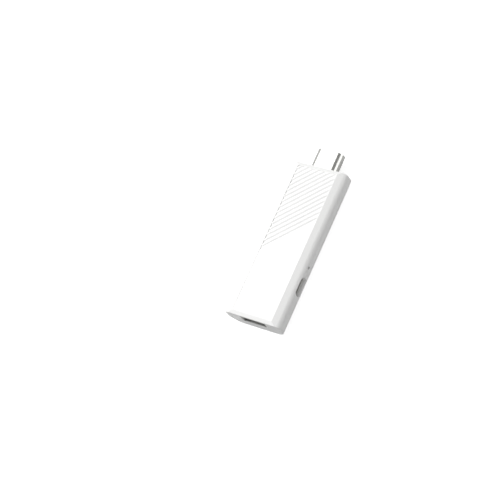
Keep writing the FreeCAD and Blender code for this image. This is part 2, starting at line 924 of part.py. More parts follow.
def reset_switch_body():
    """Moulded body of the switch, hollow, with a window for the plunger."""
    body = box(switch_front - switch_depth, switch_front, switch_y - switch_width / 2,
               switch_y + switch_width / 2, board_top, board_top + switch_height - frame_sheet)
    half_y = plunger_width / 2 + plunger_gap
    half_z = plunger_thickness / 2 + plunger_gap
    window = box(switch_front - 2 * switch_shell, switch_front + switch_shell, switch_y - half_y,
                 switch_y + half_y, plunger_z - half_z, plunger_z + half_z)
    return body.cut([switch_cavity(), window])


def reset_switch_frame():
    """Thin metal cover on the switch body, with a tab down each side to the board."""
    rear = switch_front - switch_depth
    top = board_top + switch_height
    half = switch_width / 2
    cover = box(rear, switch_front, switch_y - half, switch_y + half, top - frame_sheet, top)
    tabs = [block(frame_tab_width, frame_sheet, switch_height, (switch_front + rear) / 2,
                  switch_y + side * (half + frame_sheet / 2), board_top) for side in (1, -1)]
    return merge([cover] + tabs)


def reset_switch_dome():
    """Snap dome: a bowed metal strip across the back of the cavity."""
    back = switch_front - switch_shell - switch_room
    half = plunger_flange_width / 2
    crown = back + dome_rise
    steps = [
        ((crown, switch_y), (back, switch_y + half)),
        (back + dome_thickness, switch_y + half),
        ((crown + dome_thickness, switch_y), (back + dome_thickness, switch_y - half)),
    ]
    z0 = plunger_z - plunger_flange_height / 2
    face = outline((back, switch_y - half), steps, lambda x, y: vector(x, y, z0))
    return face.extrude(vector(0, 0, plunger_flange_height))


def processor():
    """Main chip: a square package on a thin carrier, with a corner mark."""
    size = processor_size
    carrier = block(size, size, processor_carrier, 0.0, processor_y, board_top)
    cap_size = size - 2 * processor_rim
    cap = block(cap_size, cap_size, processor_height, 0.0, processor_y, board_top)
    corner = cap_size / 2 - processor_mark
    mark = cylinder(processor_mark, processor_mark_depth, -corner, processor_y - corner,
                    board_top + processor_height - processor_mark_depth)
    return merge([carrier, cap]).cut(mark)


def thermal_pad():
    size = processor_size - 2 * pad_inset
    return block(size, size, pad_thickness, 0.0, processor_y, board_top + processor_height)


def heat_sink():
    """Aluminium sink: a base with upright fins along its length."""
    base = block(sink_width, sink_length, sink_base, 0.0, processor_y, sink_seat)
    first = (sink_fin_thickness - sink_width) / 2
    pitch = (sink_width - sink_fin_thickness) / (sink_fins - 1)
    height = roof - sink_headroom - sink_seat
    fins = [block(sink_fin_thickness, sink_length, height, first + number * pitch, processor_y, sink_seat)
            for number in range(sink_fins)]
    return merge([base] + fins)


def memory_chips():
    """Two memory packages on the underside of the board, under the processor."""
    x = (memory_spacing + memory_width) / 2
    return [block(memory_width, memory_length, memory_height, side * x, processor_y,
                  board_bottom - memory_height) for side in (1, -1)]


def flash_chip():
    """Storage package at the left edge of the board."""
    return block(flash_width, flash_length, flash_height, board_left + flash_width / 2, flash_y, board_top)


def power_chip_left():
    """Left side of the power chip, after the inductors beside it."""
    return board_left + inductors_beside_chip * (inductor_size + part_spacing)


def power_chip():
    return block(power_chip_size, power_chip_size, power_chip_height,
                 power_chip_left() + power_chip_size / 2, power_row_y, board_top)


def power_inductors():
    """Square inductors with bevelled corners, some left of the power chip and one right of it."""
    step = inductor_size + part_spacing
    centres = [board_left + inductor_size / 2 + number * step for number in range(inductors_beside_chip)]
    centres.append(power_chip_left() + power_chip_size + part_spacing + inductor_size / 2)
    coils = []
    for x in centres:
        coil = block(inductor_size, inductor_size, inductor_height, x, power_row_y, board_top)
        upright = [edge for edge in coil.Edges
                   if abs(edge.Vertexes[0].Z - edge.Vertexes[-1].Z) > inductor_height / 2]
        coils.append(coil.makeChamfer(inductor_corner, upright))
    return coils


def reservoir_capacitors():
    """Two moulded capacitors, one on each side of the USB-A socket."""
    x = usb_width / 2 + reservoir_spacing + reservoir_width / 2
    return [block(reservoir_width, reservoir_length, reservoir_height, side * x,
                  near_y + reservoir_place, board_top) for side in (1, -1)]


def clock_crystals():
    """Two crystals in metal cans with rounded corners, at the right edge of the board."""
    cans = []
    for side in (1, -1):
        y = processor_y + side * crystal_spacing / 2
        cans.append(rounded_plan(board_right - crystal_width, board_right, y - crystal_length / 2,
                                 y + crystal_length / 2, crystal_corner, board_top,
                                 board_top + crystal_height))
    return cans


def filter_capacitors():
    """A row of ceramic capacitors along the left edge of the board, beside the processor."""
    x = board_left + capacitor_length / 2
    y0 = processor_y - (capacitors_in_row - 1) * capacitor_pitch / 2
    return [block(capacitor_length, capacitor_width, capacitor_width, x, y0 + number * capacitor_pitch,
                  board_top) for number in range(capacitors_in_row)]


def chip_resistors():
    """A row of small resistors in line with the antenna socket."""
    y0 = coax_y + coax_socket_size / 2 + part_spacing + resistor_width / 2
    return [block(resistor_length, resistor_width, resistor_height, coax_x,
                  y0 + number * resistor_pitch, board_top) for number in range(resistors_in_row)]


def wifi_module():
    return block(radio_width, radio_length, radio_board, radio_x, radio_y, board_top)


def wifi_shield():
    """Thin metal can over the radio, open below."""
    width = radio_width - 2 * shield_margin
    length = radio_length - 2 * shield_margin
    seat = board_top + radio_board
    can = block(width, length, shield_height, radio_x, radio_y, seat)
    room = block(width - 2 * shield_sheet, length - 2 * shield_sheet, shield_height - shield_sheet,
                 radio_x, radio_y, seat)
    return can.cut(room)


def antenna_socket():
    """Tiny coaxial socket: a square foot with a round barrel."""
    foot = block(coax_socket_size, coax_socket_size, coax_foot_height, coax_x, coax_y, board_top)
    barrel = cylinder(coax_barrel_diameter, coax_socket_height, coax_x, coax_y, board_top)
    return merge([foot, barrel])


def antenna_plug():
    """Coaxial plug that sits on the socket."""
    return cylinder(coax_plug_diameter, coax_plug_height, coax_x, coax_y, board_top + coax_socket_height)


def antenna_cable():
    """Thin cable: straight out of the plug, round one bend and along the antenna strip."""
    wall_x = strip_x - strip_thickness - coax_strip_gap - coax_diameter / 2
    bend_x = wall_x - coax_bend
    slant = math.sqrt(0.5) * coax_bend
    first = vector(coax_x + coax_plug_diameter / 2, coax_y, coax_z)
    bend_start = vector(bend_x, coax_y, coax_z)
    middle = vector(bend_x + slant, coax_y + coax_bend - slant, coax_z)
    bend_end = vector(wall_x, coax_y + coax_bend, coax_z)
    last = vector(wall_x, coax_y + coax_bend + coax_run, coax_z)
    path = Part.Wire([
        Part.LineSegment(first, bend_start).toShape(),
        Part.Arc(bend_start, middle, bend_end).toShape(),
        Part.LineSegment(bend_end, last).toShape(),
    ])
    circle = Part.makeCircle(coax_diameter / 2, first, vector(1, 0, 0))
    cable = path.makePipeShell([Part.Wire([circle])], True, False)
    print("antenna cable: volume", round(cable.Volume, 3), "section times length",
          round(math.pi * coax_diameter ** 2 / 4 * path.Length, 3), "bend radius", coax_bend)
    return cable


def antenna_strip():
    """Flexible antenna strip on its bed at the side wall."""
    y = far_y - strip_far_inset
    z0 = board_top + strip_lift
    return box(strip_x - strip_thickness, strip_x, y - strip_length / 2, y + strip_length / 2,
               z0, z0 + strip_height)


parts = {
    "top_case": top_case,
    "top_plate": top_plate,
    "bottom_cover": bottom_cover,
    "underside_label": underside_label,
    "main_board": main_board,
    "hdmi_plug_shell": hdmi_plug_shell,
    "hdmi_plug_insulator": hdmi_plug_insulator,
    "hdmi_plug_contacts": hdmi_plug_contacts,
    "usb_socket_shell": usb_socket_shell,
    "usb_socket_tongue": usb_socket_tongue,
    "usb_socket_contacts": usb_socket_contacts,
    "power_socket_shell": power_socket_shell,
    "power_socket_tongue": power_socket_tongue,
    "power_socket_contacts": power_socket_contacts,
    "reset_switch_body": reset_switch_body,
    "reset_switch_frame": reset_switch_frame,
    "reset_switch_dome": reset_switch_dome,
    "reset_plunger": reset_plunger,
    "processor": processor,
    "thermal_pad": thermal_pad,
    "heat_sink": heat_sink,
    "memory_chips": memory_chips,
    "flash_chip": flash_chip,
    "power_chip": power_chip,
    "power_inductors": power_inductors,
    "reservoir_capacitors": reservoir_capacitors,
    "clock_crystals": clock_crystals,
    "filter_capacitors": filter_capacitors,
    "chip_resistors": chip_resistors,
    "wifi_module": wifi_module,
    "wifi_shield": wifi_shield,
    "antenna_socket": antenna_socket,
    "antenna_plug": antenna_plug,
    "antenna_cable": antenna_cable,
    "antenna_strip": antenna_strip,
}

os.makedirs("parts", exist_ok=True)
for name, make in parts.items():
    shape = make()
    if isinstance(shape, list):
        shape = Part.makeCompound(shape)
    shape.exportStep("parts/" + name + ".step")
    print(name, "solids", len(shape.Solids), "volume", round(shape.Volume, 2), "valid", shape.isValid())
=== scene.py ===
import math
import bpy
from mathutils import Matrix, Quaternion, Vector


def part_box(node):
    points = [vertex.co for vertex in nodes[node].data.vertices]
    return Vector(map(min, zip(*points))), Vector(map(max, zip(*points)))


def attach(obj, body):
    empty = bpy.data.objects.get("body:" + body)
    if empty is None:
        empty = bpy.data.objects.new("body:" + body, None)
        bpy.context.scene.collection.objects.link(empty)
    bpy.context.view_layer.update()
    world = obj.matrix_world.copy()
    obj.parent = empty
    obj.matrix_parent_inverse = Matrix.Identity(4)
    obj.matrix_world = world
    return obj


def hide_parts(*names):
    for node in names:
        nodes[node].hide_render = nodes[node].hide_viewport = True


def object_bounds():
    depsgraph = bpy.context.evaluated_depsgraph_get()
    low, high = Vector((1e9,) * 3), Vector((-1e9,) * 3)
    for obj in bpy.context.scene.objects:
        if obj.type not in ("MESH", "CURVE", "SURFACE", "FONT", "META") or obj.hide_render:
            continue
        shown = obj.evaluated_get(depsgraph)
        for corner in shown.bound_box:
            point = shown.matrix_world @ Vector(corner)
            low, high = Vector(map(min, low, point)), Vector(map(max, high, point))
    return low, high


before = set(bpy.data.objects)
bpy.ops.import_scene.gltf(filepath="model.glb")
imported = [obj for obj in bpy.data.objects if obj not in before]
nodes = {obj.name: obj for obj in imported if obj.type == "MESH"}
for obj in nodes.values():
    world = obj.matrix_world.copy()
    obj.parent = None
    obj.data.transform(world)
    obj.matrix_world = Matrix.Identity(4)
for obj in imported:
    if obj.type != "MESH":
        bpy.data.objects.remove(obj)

cad_box = [list(corner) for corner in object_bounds()]
MM = 0.001


# Camera
# A long lens looks down past the near right corner of the stick, from well above its right side.
# Place and roll put the stick's edges where the photograph has them.
camera_place = Vector((0.36150, -0.20655, 0.66141))
camera_aim = Vector((-0.01894, -0.01223, 0.00675))
camera_roll = -42.277
camera_lens = 118.34
camera_sensor = 36.0

look = (camera_aim - camera_place).to_track_quat("-Z", "Y")
camera_data = bpy.data.cameras.new("photo_camera")
camera_data.lens = camera_lens
camera_data.sensor_width = camera_sensor
camera_data.clip_start = 0.05
camera_data.clip_end = 20.0
camera = bpy.data.objects.new("photo_camera", camera_data)
camera.rotation_mode = "QUATERNION"
camera.rotation_quaternion = look @ Quaternion((0, 0, 1), math.radians(camera_roll))
camera.location = camera_place
bpy.context.scene.collection.objects.link(camera)
bpy.context.scene.camera = camera
bpy.context.scene.view_settings.view_transform = "Standard"


# Studio
# White paper under the stick, white air round it and one large soft lamp high on its left. A grey
# card high on its right and a small bright one beside the plug are there for the bare metal to
# reflect. A low grey card in front of the near end keeps the paper's light off it.
sweep_half = 2.0
sweep_drop = 0.02 * MM
paper_colour = "#D6D6D6"
paper_glow = 0.78
gloss_glow = 0.36
air_level = 0.40
lamp_size = 0.7
lamp_power = 8.2
lamp_place = Vector((-0.47, 0.0, 0.80))
side_card_size = (0.3, 0.3)
side_card_place = Vector((0.40, 0.17, 0.50))
side_card_colour = "#DCDCDC"
low_card_size = (0.07, 0.012)
low_card_place = Vector((-0.004, -0.058, 0.006))
low_card_facing = Vector((0, -1, 0))
low_card_colour = "#A8A8A8"
bright_card_size = (0.03, 0.03)
bright_card_place = Vector((0.062, 0.056, 0.034))
bright_glow = 3.4
plug_place = Vector((0.006, 0.040, 0.008))


def linear(code):
    """The linear colour of an sRGB hex code."""
    channels = [int(code[at:at + 2], 16) / 255 for at in (1, 3, 5)]
    levels = [c / 12.92 if c <= 0.04045 else ((c + 0.055) / 1.055) ** 2.4 for c in channels]
    return (*levels, 1.0)


def add_node(tree, kind, settings=None, inputs=None):
    """A shader node with its settings, and inputs that are values or other nodes' outputs."""
    node = tree.nodes.new(kind)
    for name, value in (settings or {}).items():
        setattr(node, name, value)
    for name, value in (inputs or {}).items():
        if isinstance(value, bpy.types.NodeSocket):
            tree.links.new(value, node.inputs[name])
        else:
            node.inputs[name].default_value = value
    return node


def start_material(name):
    """A new material and its empty node tree."""
    material = bpy.data.materials.new(name)
    material.use_nodes = True
    material.node_tree.nodes.clear()
    return material, material.node_tree


def white_paper():
    """Plain paper, white to the camera and pale in gloss, with a soft shadow. Clear from below."""
    material, tree = start_material("white_paper_sweep")
    path = add_node(tree, "ShaderNodeLightPath")
    in_gloss = add_node(tree, "ShaderNodeMath", {"operation": "MAXIMUM"},
                        {0: path.outputs["Is Glossy Ray"], 1: path.outputs["Is Transmission Ray"]})
    in_gloss = add_node(tree, "ShaderNodeMath", {"operation": "MULTIPLY"},
                        {0: in_gloss.outputs[0], 1: gloss_glow})
    level = add_node(tree, "ShaderNodeMath", {"operation": "MULTIPLY_ADD"},
                     {0: path.outputs["Is Camera Ray"], 1: paper_glow, 2: in_gloss.outputs[0]})
    paper = add_node(tree, "ShaderNodeBsdfDiffuse", inputs={"Color": linear(paper_colour)})
    glow = add_node(tree, "ShaderNodeEmission", inputs={"Strength": level.outputs[0]})
    both = add_node(tree, "ShaderNodeAddShader", inputs={0: paper.outputs[0], 1: glow.outputs[0]})
    clear = add_node(tree, "ShaderNodeBsdfTransparent")
    geometry = add_node(tree, "ShaderNodeNewGeometry")
    either = add_node(tree, "ShaderNodeMixShader",
                      inputs={0: geometry.outputs["Backfacing"], 1: both.outputs[0],
                              2: clear.outputs[0]})
    add_node(tree, "ShaderNodeOutputMaterial", inputs={"Surface": either.outputs[0]})
    return material


def grey_paper(name, colour):
    """Matt grey paper of a card."""
    material, tree = start_material(name)
    card_paper = add_node(tree, "ShaderNodeBsdfDiffuse", inputs={"Color": linear(colour)})
    add_node(tree, "ShaderNodeOutputMaterial", inputs={"Surface": card_paper.outputs[0]})
    return material


def lit_panel():
    """Evenly lit face of the small bright card."""
    material, tree = start_material("bright_card")
    glow = add_node(tree, "ShaderNodeEmission", inputs={"Strength": bright_glow})
    add_node(tree, "ShaderNodeOutputMaterial", inputs={"Surface": glow.outputs[0]})
    return material


def stand_card(name, material, size, place, facing):
    """A card beside the stick, out of the camera's sight."""
    bpy.ops.mesh.primitive_plane_add(size=1, location=place)
    card = bpy.context.object
    card.name = name
    card.scale = (size[0], size[1], 1)
    card.rotation_mode = "QUATERNION"
    card.rotation_quaternion = facing.to_track_quat("Z", "Y")
    card.visible_camera = False
    card.data.materials.append(material)
    return card


bpy.ops.mesh.primitive_plane_add(size=2 * sweep_half, location=(0, 0, -sweep_drop))
sweep = bpy.context.object
sweep.name = "paper_floor"
sweep.data.materials.append(white_paper())

stand_card("dark_flag", grey_paper("grey_card", side_card_colour), side_card_size,
           side_card_place, -side_card_place)
low_card = stand_card("low_flag", grey_paper("low_grey_card", low_card_colour), low_card_size,
                      low_card_place, low_card_facing)
low_card.visible_glossy = False
bright_card = stand_card("bright_flag", lit_panel(), bright_card_size,
                         bright_card_place, plug_place - bright_card_place)
bright_card.visible_diffuse = False
bright_card.visible_shadow = False

lamp_data = bpy.data.lights.new("overhead_softbox", "AREA")
lamp_data.size = lamp_size
lamp_data.energy = lamp_power
lamp = bpy.data.objects.new("overhead_softbox", lamp_data)
lamp.location = lamp_place
lamp.rotation_mode = "QUATERNION"
lamp.rotation_quaternion = (-lamp_place).to_track_quat("-Z", "Y")
bpy.context.scene.collection.objects.link(lamp)

world = bpy.data.worlds.new("studio_air")
bpy.context.scene.world = world
world.use_nodes = True
world.node_tree.nodes.clear()
path = add_node(world.node_tree, "ShaderNodeLightPath")
seen = add_node(world.node_tree, "ShaderNodeMath", {"operation": "MAXIMUM"},
                {0: path.outputs["Is Camera Ray"], 1: path.outputs["Is Glossy Ray"]})
seen = add_node(world.node_tree, "ShaderNodeMath", {"operation": "MAXIMUM"},
                {0: seen.outputs[0], 1: path.outputs["Is Transmission Ray"]})
level = add_node(world.node_tree, "ShaderNodeMapRange",
                 inputs={"Value": seen.outputs[0], "To Min": air_level, "To Max": 1.0})
air = add_node(world.node_tree, "ShaderNodeBackground",
               inputs={"Color": (1.0, 1.0, 1.0, 1.0), "Strength": level.outputs[0]})
add_node(world.node_tree, "ShaderNodeOutputWorld", inputs={"Surface": air.outputs[0]})


# Lower case
# A tray of white ABS, injection moulded in a spark-eroded mould, so its outside is finely matt.
# Its openings have the small radius that a mould's polished edges leave. It rests on its floor.
case_colour = "#F4F4F3"
case_shade = "#EFEFEE"
case_grain = 0.35 * MM
gloss_drift = 14 * MM
opening_edge = 0.12 * MM
edge_segments = 2
merge_distance = 0.002 * MM
flat_angle = math.radians(1.0)
crisp_angle = math.radians(21.0)
outer_margin = 0.03 * MM
parting = 5.0 * MM
seam_reach = 0.2 * MM
half_width = cad_box[1][0]
keel_radius = 8.0 * MM


def moulded_abs(name, rough_low, rough_high, relief):
    """White ABS from a spark-eroded mould: an even fine grain, and gloss that drifts slowly."""
    material, tree = start_material(name)
    place = add_node(tree, "ShaderNodeTexCoord").outputs["Object"]
    pits = add_node(tree, "ShaderNodeTexNoise",
                    inputs={"Vector": place, "Scale": 1 / case_grain, "Detail": 3.0,
                            "Roughness": 0.6})
    drift = add_node(tree, "ShaderNodeTexNoise",
                     inputs={"Vector": place, "Scale": 1 / gloss_drift, "Detail": 2.0})
    tint = add_node(tree, "ShaderNodeMix", {"data_type": "RGBA"},
                    {0: drift.outputs["Fac"], 6: linear(case_colour), 7: linear(case_shade)})
    rough = add_node(tree, "ShaderNodeMapRange",
                     inputs={"Value": drift.outputs["Fac"], "From Min": 0.3, "From Max": 0.7,
                             "To Min": rough_low, "To Max": rough_high})
    bump = add_node(tree, "ShaderNodeBump",
                    inputs={"Strength": 0.5, "Distance": relief, "Height": pits.outputs["Fac"]})
    shader = add_node(tree, "ShaderNodeBsdfPrincipled",
                      inputs={"Base Color": tint.outputs[2], "Roughness": rough.outputs[0],
                              "IOR": 1.54, "Normal": bump.outputs[0]})
    add_node(tree, "ShaderNodeOutputMaterial", inputs={"Surface": shader.outputs[0]})
    return material


def work_on(piece):
    """Select a piece alone, for the operators to work on."""
    bpy.ops.object.select_all(action="DESELECT")
    piece.select_set(True)
    bpy.context.view_layer.objects.active = piece


def copy_of(node, name):
    """A piece with a closed copy of a CAD node's mesh, flat faces whole."""
    piece = bpy.data.objects.new(name, nodes[node].data.copy())
    bpy.context.scene.collection.objects.link(piece)
    work_on(piece)
    bpy.ops.object.mode_set(mode="EDIT")
    bpy.ops.mesh.select_all(action="SELECT")
    bpy.ops.mesh.remove_doubles(threshold=merge_distance)
    bpy.ops.mesh.dissolve_limited(angle_limit=flat_angle)
    bpy.ops.object.mode_set(mode="OBJECT")
    return piece


def clear_picks(kind):
    """Turn to picking corners, edges or faces of the active piece, with none picked."""
    bpy.ops.object.mode_set(mode="EDIT")
    bpy.ops.mesh.select_mode(type=kind)
    bpy.ops.mesh.select_all(action="DESELECT")
    bpy.ops.object.mode_set(mode="OBJECT")


def pick_edges(piece, test):
    """Select the edges that lie between two faces and pass test(middle, along, face normals)."""
    mesh = piece.data
    clear_picks("EDGE")
    faces_at = {}
    for face in mesh.polygons:
        for key in face.edge_keys:
            faces_at.setdefault(key, []).append(face.normal)
    for edge in mesh.edges:
        first, last = (mesh.vertices[at].co for at in edge.vertices)
        normals = faces_at.get(edge.key, [])
        edge.select = len(normals) == 2 and bool(test((first + last) / 2, last - first, normals))
    bpy.ops.object.mode_set(mode="EDIT")


def crisp(normals):
    """Whether two faces meet at a sharp edge."""
    return normals[0].angle(normals[1], 0.0) > crisp_angle


def soften(width):
    """Round the selected edges and leave edit mode."""
    bpy.ops.mesh.bevel(offset_type="OFFSET", offset=width, segments=edge_segments, profile=0.5,
                       clamp_overlap=False)
    bpy.ops.object.mode_set(mode="OBJECT")


def smooth(piece):
    """Smooth shading over the round faces, with the flats kept flat."""
    work_on(piece)
    bpy.ops.object.shade_smooth_by_angle(angle=crisp_angle)
    evening = piece.modifiers.new("even_flats", "WEIGHTED_NORMAL")
    evening.keep_sharp = True
    bpy.ops.object.modifier_apply(modifier=evening.name)


def stand_for(piece, node, material):
    """Finish a piece, put it in place of a CAD node and let it ride on the stick."""
    piece.data.materials.clear()
    piece.data.materials.append(material)
    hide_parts(node)
    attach(piece, "stick")


case_low, case_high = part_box("bottom_cover")


def on_end(point):
    """Whether a point lies on the near or the far end."""
    return abs(point.y - case_low.y) < outer_margin or abs(point.y - case_high.y) < outer_margin


def on_keel(point):
    """Whether a point lies on the round lower part of a side."""
    out = math.hypot(abs(point.x) - half_width + keel_radius, point.z - keel_radius)
    return point.z < keel_radius and abs(out - keel_radius) < outer_margin


def on_seam(point):
    """Whether a point lies where the two halves of the case meet."""
    return abs(point.z - parting) < seam_reach


white_abs = moulded_abs("moulded_white_abs", rough_low=0.40, rough_high=0.48,
                        relief=0.004 * MM)
lower = copy_of("bottom_cover", "lower_case")
pick_edges(lower, lambda middle, along, normals: (on_end(middle) or middle.z < outer_margin)
           and crisp(normals) and not on_seam(middle))
soften(opening_edge)
smooth(lower)
stand_for(lower, "bottom_cover", white_abs)


# Underside label
# A blank white polypropylene film, die cut with round corners and glued into its shallow bed.
# Calendering leaves it smooth, with a faint mottle under a satin varnish.
label_colour = "#E9E9E6"
label_mottle = "#DEDEDA"
mottle_size = 1.2 * MM
fibre_size = 0.2 * MM


def calendered_film():
    """White polypropylene label stock: smooth, faintly mottled, with a satin varnish."""
    material, tree = start_material("calendered_label_film")
    place = add_node(tree, "ShaderNodeTexCoord").outputs["Object"]
    cloud = add_node(tree, "ShaderNodeTexNoise",
                     inputs={"Vector": place, "Scale": 1 / mottle_size, "Detail": 4.0})
    tint = add_node(tree, "ShaderNodeMix", {"data_type": "RGBA"},
                    {0: cloud.outputs["Fac"], 6: linear(label_colour), 7: linear(label_mottle)})
    fibre = add_node(tree, "ShaderNodeTexNoise",
                     inputs={"Vector": place, "Scale": 1 / fibre_size, "Detail": 2.0})
    rough = add_node(tree, "ShaderNodeMapRange",
                     inputs={"Value": fibre.outputs["Fac"], "To Min": 0.38, "To Max": 0.52})
    bump = add_node(tree, "ShaderNodeBump",
                    inputs={"Strength": 0.3, "Distance": 0.002 * MM,
                            "Height": fibre.outputs["Fac"]})
    shader = add_node(tree, "ShaderNodeBsdfPrincipled",
                      inputs={"Base Color": tint.outputs[2], "Roughness": rough.outputs[0],
                              "IOR": 1.49, "Normal": bump.outputs[0]})
    add_node(tree, "ShaderNodeOutputMaterial", inputs={"Surface": shader.outputs[0]})
    return material


def dress(node, material):
    """Give a CAD node that stays its material, in its one slot."""
    nodes[node].material_slots[0].material = material


dress("underside_label", calendered_film())


# Main board
# A green glass-fibre laminate board, etched, masked and routed to size. It lies on four pegs of the
# lower case. Its routed edges show the bare tan laminate.
mask_colour = "#0C4A2B"
track_colour = "#186A3E"
laminate_colour = "#B59A63"
via_colour = "#C9A35A"
track_pitch = 0.8 * MM
track_gap = 0.1 * track_pitch
track_run = 7.0 * MM
via_spacing = 2.6 * MM
via_share = 0.09
upright_reach = 0.3


def masked_board(name, mask, track):
    """Solder mask over etched copper: raised tracks that catch light, and vias as tinned dots."""
    material, tree = start_material(name)
    place = add_node(tree, "ShaderNodeTexCoord").outputs["Object"]
    tracks = add_node(tree, "ShaderNodeTexBrick",
                      inputs={"Vector": place, "Scale": 1.0, "Brick Width": track_run,
                              "Row Height": track_pitch, "Mortar Size": track_gap,
                              "Mortar Smooth": 0.2})
    vias = add_node(tree, "ShaderNodeTexVoronoi",
                    inputs={"Vector": place, "Scale": 1 / via_spacing, "Randomness": 0.7})
    via = add_node(tree, "ShaderNodeMath", {"operation": "LESS_THAN"},
                   {0: vias.outputs["Distance"], 1: via_share})
    coat = add_node(tree, "ShaderNodeMix", {"data_type": "RGBA"},
                    {0: tracks.outputs["Fac"], 6: linear(mask), 7: linear(track)})
    coat = add_node(tree, "ShaderNodeMix", {"data_type": "RGBA"},
                    {0: via.outputs[0], 6: coat.outputs[2], 7: linear(via_colour)})
    normal = add_node(tree, "ShaderNodeSeparateXYZ",
                      inputs={0: add_node(tree, "ShaderNodeNewGeometry").outputs["True Normal"]})
    upright = add_node(tree, "ShaderNodeMath", {"operation": "COMPARE"},
                       {0: normal.outputs["Z"], 1: 0.0, 2: upright_reach})
    tint = add_node(tree, "ShaderNodeMix", {"data_type": "RGBA"},
                    {0: upright.outputs[0], 6: coat.outputs[2], 7: linear(laminate_colour)})
    rough = add_node(tree, "ShaderNodeMapRange",
                     inputs={"Value": upright.outputs[0], "To Min": 0.32, "To Max": 0.7})
    bump = add_node(tree, "ShaderNodeBump",
                    inputs={"Strength": 0.6, "Distance": 0.03 * MM,
                            "Height": tracks.outputs["Fac"]})
    shader = add_node(tree, "ShaderNodeBsdfPrincipled",
                      inputs={"Base Color": tint.outputs[2], "Roughness": rough.outputs[0],
                              "IOR": 1.5, "Normal": bump.outputs[0]})
    add_node(tree, "ShaderNodeOutputMaterial", inputs={"Surface": shader.outputs[0]})
    return material


dress("main_board", masked_board("masked_green_board", mask_colour, track_colour))


# HDMI plug
# A shell folded from thin steel strip and nickel plated, soldered to the board through two legs.
# Rolling leaves faint lines along it, and the folded strip meets in a seam on its wide side.
nickel_bright = "#A8A8A5"
nickel_dull = "#A0A09D"
seam_colour = "#2A2926"
seam_half = 0.06 * MM
# Depth of the seam, in heights of the rolled lines.
seam_sink = -20.0
plating_drift = 3 * MM
faces_down = -0.9
sheet_edge = 0.08 * MM
plug_low, plug_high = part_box("hdmi_plug_shell")
above_legs = plug_low.z + 2.4 * MM
window_top = parting + 0.1 * MM
# Lines of the fold, across and up in millimetres, as drawn and as they are eased.
fold_drawn = ((6.223, 8.598), (6.404, 8.461), (6.564, 8.300), (6.699, 8.118),
              (6.807, 7.918), (6.886, 7.706), (6.934, 7.484))
fold_eased = ((5.700, 8.939), (5.980, 8.715), (6.240, 8.470), (6.470, 8.225),
              (6.680, 7.970), (6.850, 7.700), (6.930, 7.450))
fold_reach = 0.02 * MM


def rolled_metal(name, bright, dull, stretch, line, rough_low, rough_high, relief, seam=0.0):
    """Rolled and plated strip: fine lines along the rolling, and a plating whose gloss drifts."""
    material, tree = start_material(name)
    place = add_node(tree, "ShaderNodeTexCoord").outputs["Object"]
    rolled = add_node(tree, "ShaderNodeMapping", inputs={"Vector": place, "Scale": stretch})
    lines = add_node(tree, "ShaderNodeTexNoise",
                     inputs={"Vector": rolled.outputs[0], "Scale": 1 / line, "Detail": 3.0})
    drift = add_node(tree, "ShaderNodeTexNoise",
                     inputs={"Vector": place, "Scale": 1 / plating_drift, "Detail": 2.0})
    tone = add_node(tree, "ShaderNodeMix", {"data_type": "RGBA"},
                    {0: drift.outputs["Fac"], 6: linear(bright), 7: linear(dull)})
    rough = add_node(tree, "ShaderNodeMapRange",
                     inputs={"Value": lines.outputs["Fac"], "From Min": 0.3, "From Max": 0.7,
                             "To Min": rough_low, "To Max": rough_high})
    height = lines.outputs["Fac"]
    if seam:
        parts = add_node(tree, "ShaderNodeSeparateXYZ", inputs={0: place})
        geometry = add_node(tree, "ShaderNodeNewGeometry")
        facing = add_node(tree, "ShaderNodeSeparateXYZ",
                          inputs={0: geometry.outputs["True Normal"]})
        middle = add_node(tree, "ShaderNodeMath", {"operation": "COMPARE"},
                          {0: parts.outputs["X"], 1: 0.0, 2: seam})
        below = add_node(tree, "ShaderNodeMath", {"operation": "LESS_THAN"},
                         {0: facing.outputs["Z"], 1: faces_down})
        gap = add_node(tree, "ShaderNodeMath", {"operation": "MULTIPLY"},
                       {0: middle.outputs[0], 1: below.outputs[0]})
        lowered = add_node(tree, "ShaderNodeMath", {"operation": "MULTIPLY_ADD"},
                           {0: gap.outputs[0], 1: seam_sink, 2: height})
        height = lowered.outputs[0]
        tone = add_node(tree, "ShaderNodeMix", {"data_type": "RGBA"},
                        {0: gap.outputs[0], 6: tone.outputs[2], 7: linear(seam_colour)})
    bump = add_node(tree, "ShaderNodeBump",
                    inputs={"Strength": 0.4, "Distance": relief, "Height": height})
    shader = add_node(tree, "ShaderNodeBsdfPrincipled",
                      inputs={"Base Color": tone.outputs[2], "Roughness": rough.outputs[0],
                              "Metallic": 1.0, "Normal": bump.outputs[0]})
    add_node(tree, "ShaderNodeOutputMaterial", inputs={"Surface": shader.outputs[0]})
    return material


def pick_points(piece, test):
    """Select the corners that pass test(place)."""
    clear_picks("VERT")
    for vertex in piece.data.vertices:
        vertex.select = bool(test(vertex.co))
    bpy.ops.object.mode_set(mode="EDIT")


def ease_fold(piece, side):
    """Flatten the fold between slope and side wall, line by line, as rolling and wear leave it."""
    for (from_x, from_z), (to_x, to_z) in zip(fold_drawn, fold_eased):
        line = Vector((side * from_x * MM, 0, from_z * MM))
        pick_points(piece, lambda place: (place - line).xz.length < fold_reach)
        bpy.ops.transform.translate(value=(side * (to_x - from_x) * MM, 0, (to_z - from_z) * MM))
        bpy.ops.object.mode_set(mode="OBJECT")


plug = copy_of("hdmi_plug_shell", "plug_jacket")
for plug_side in (-1, 1):
    ease_fold(plug, plug_side)
pick_edges(plug, lambda middle, along, normals: crisp(normals) and middle.z > above_legs
           and (middle.y > plug_high.y - outer_margin or middle.z < window_top))
soften(sheet_edge)
smooth(plug)
stand_for(plug, "hdmi_plug_shell",
          rolled_metal("nickel_plated_strip", nickel_bright, nickel_dull, stretch=(1, 0.04, 1),
                       line=0.25 * MM, rough_low=0.16, rough_high=0.26, relief=0.002 * MM,
                       seam=seam_half))


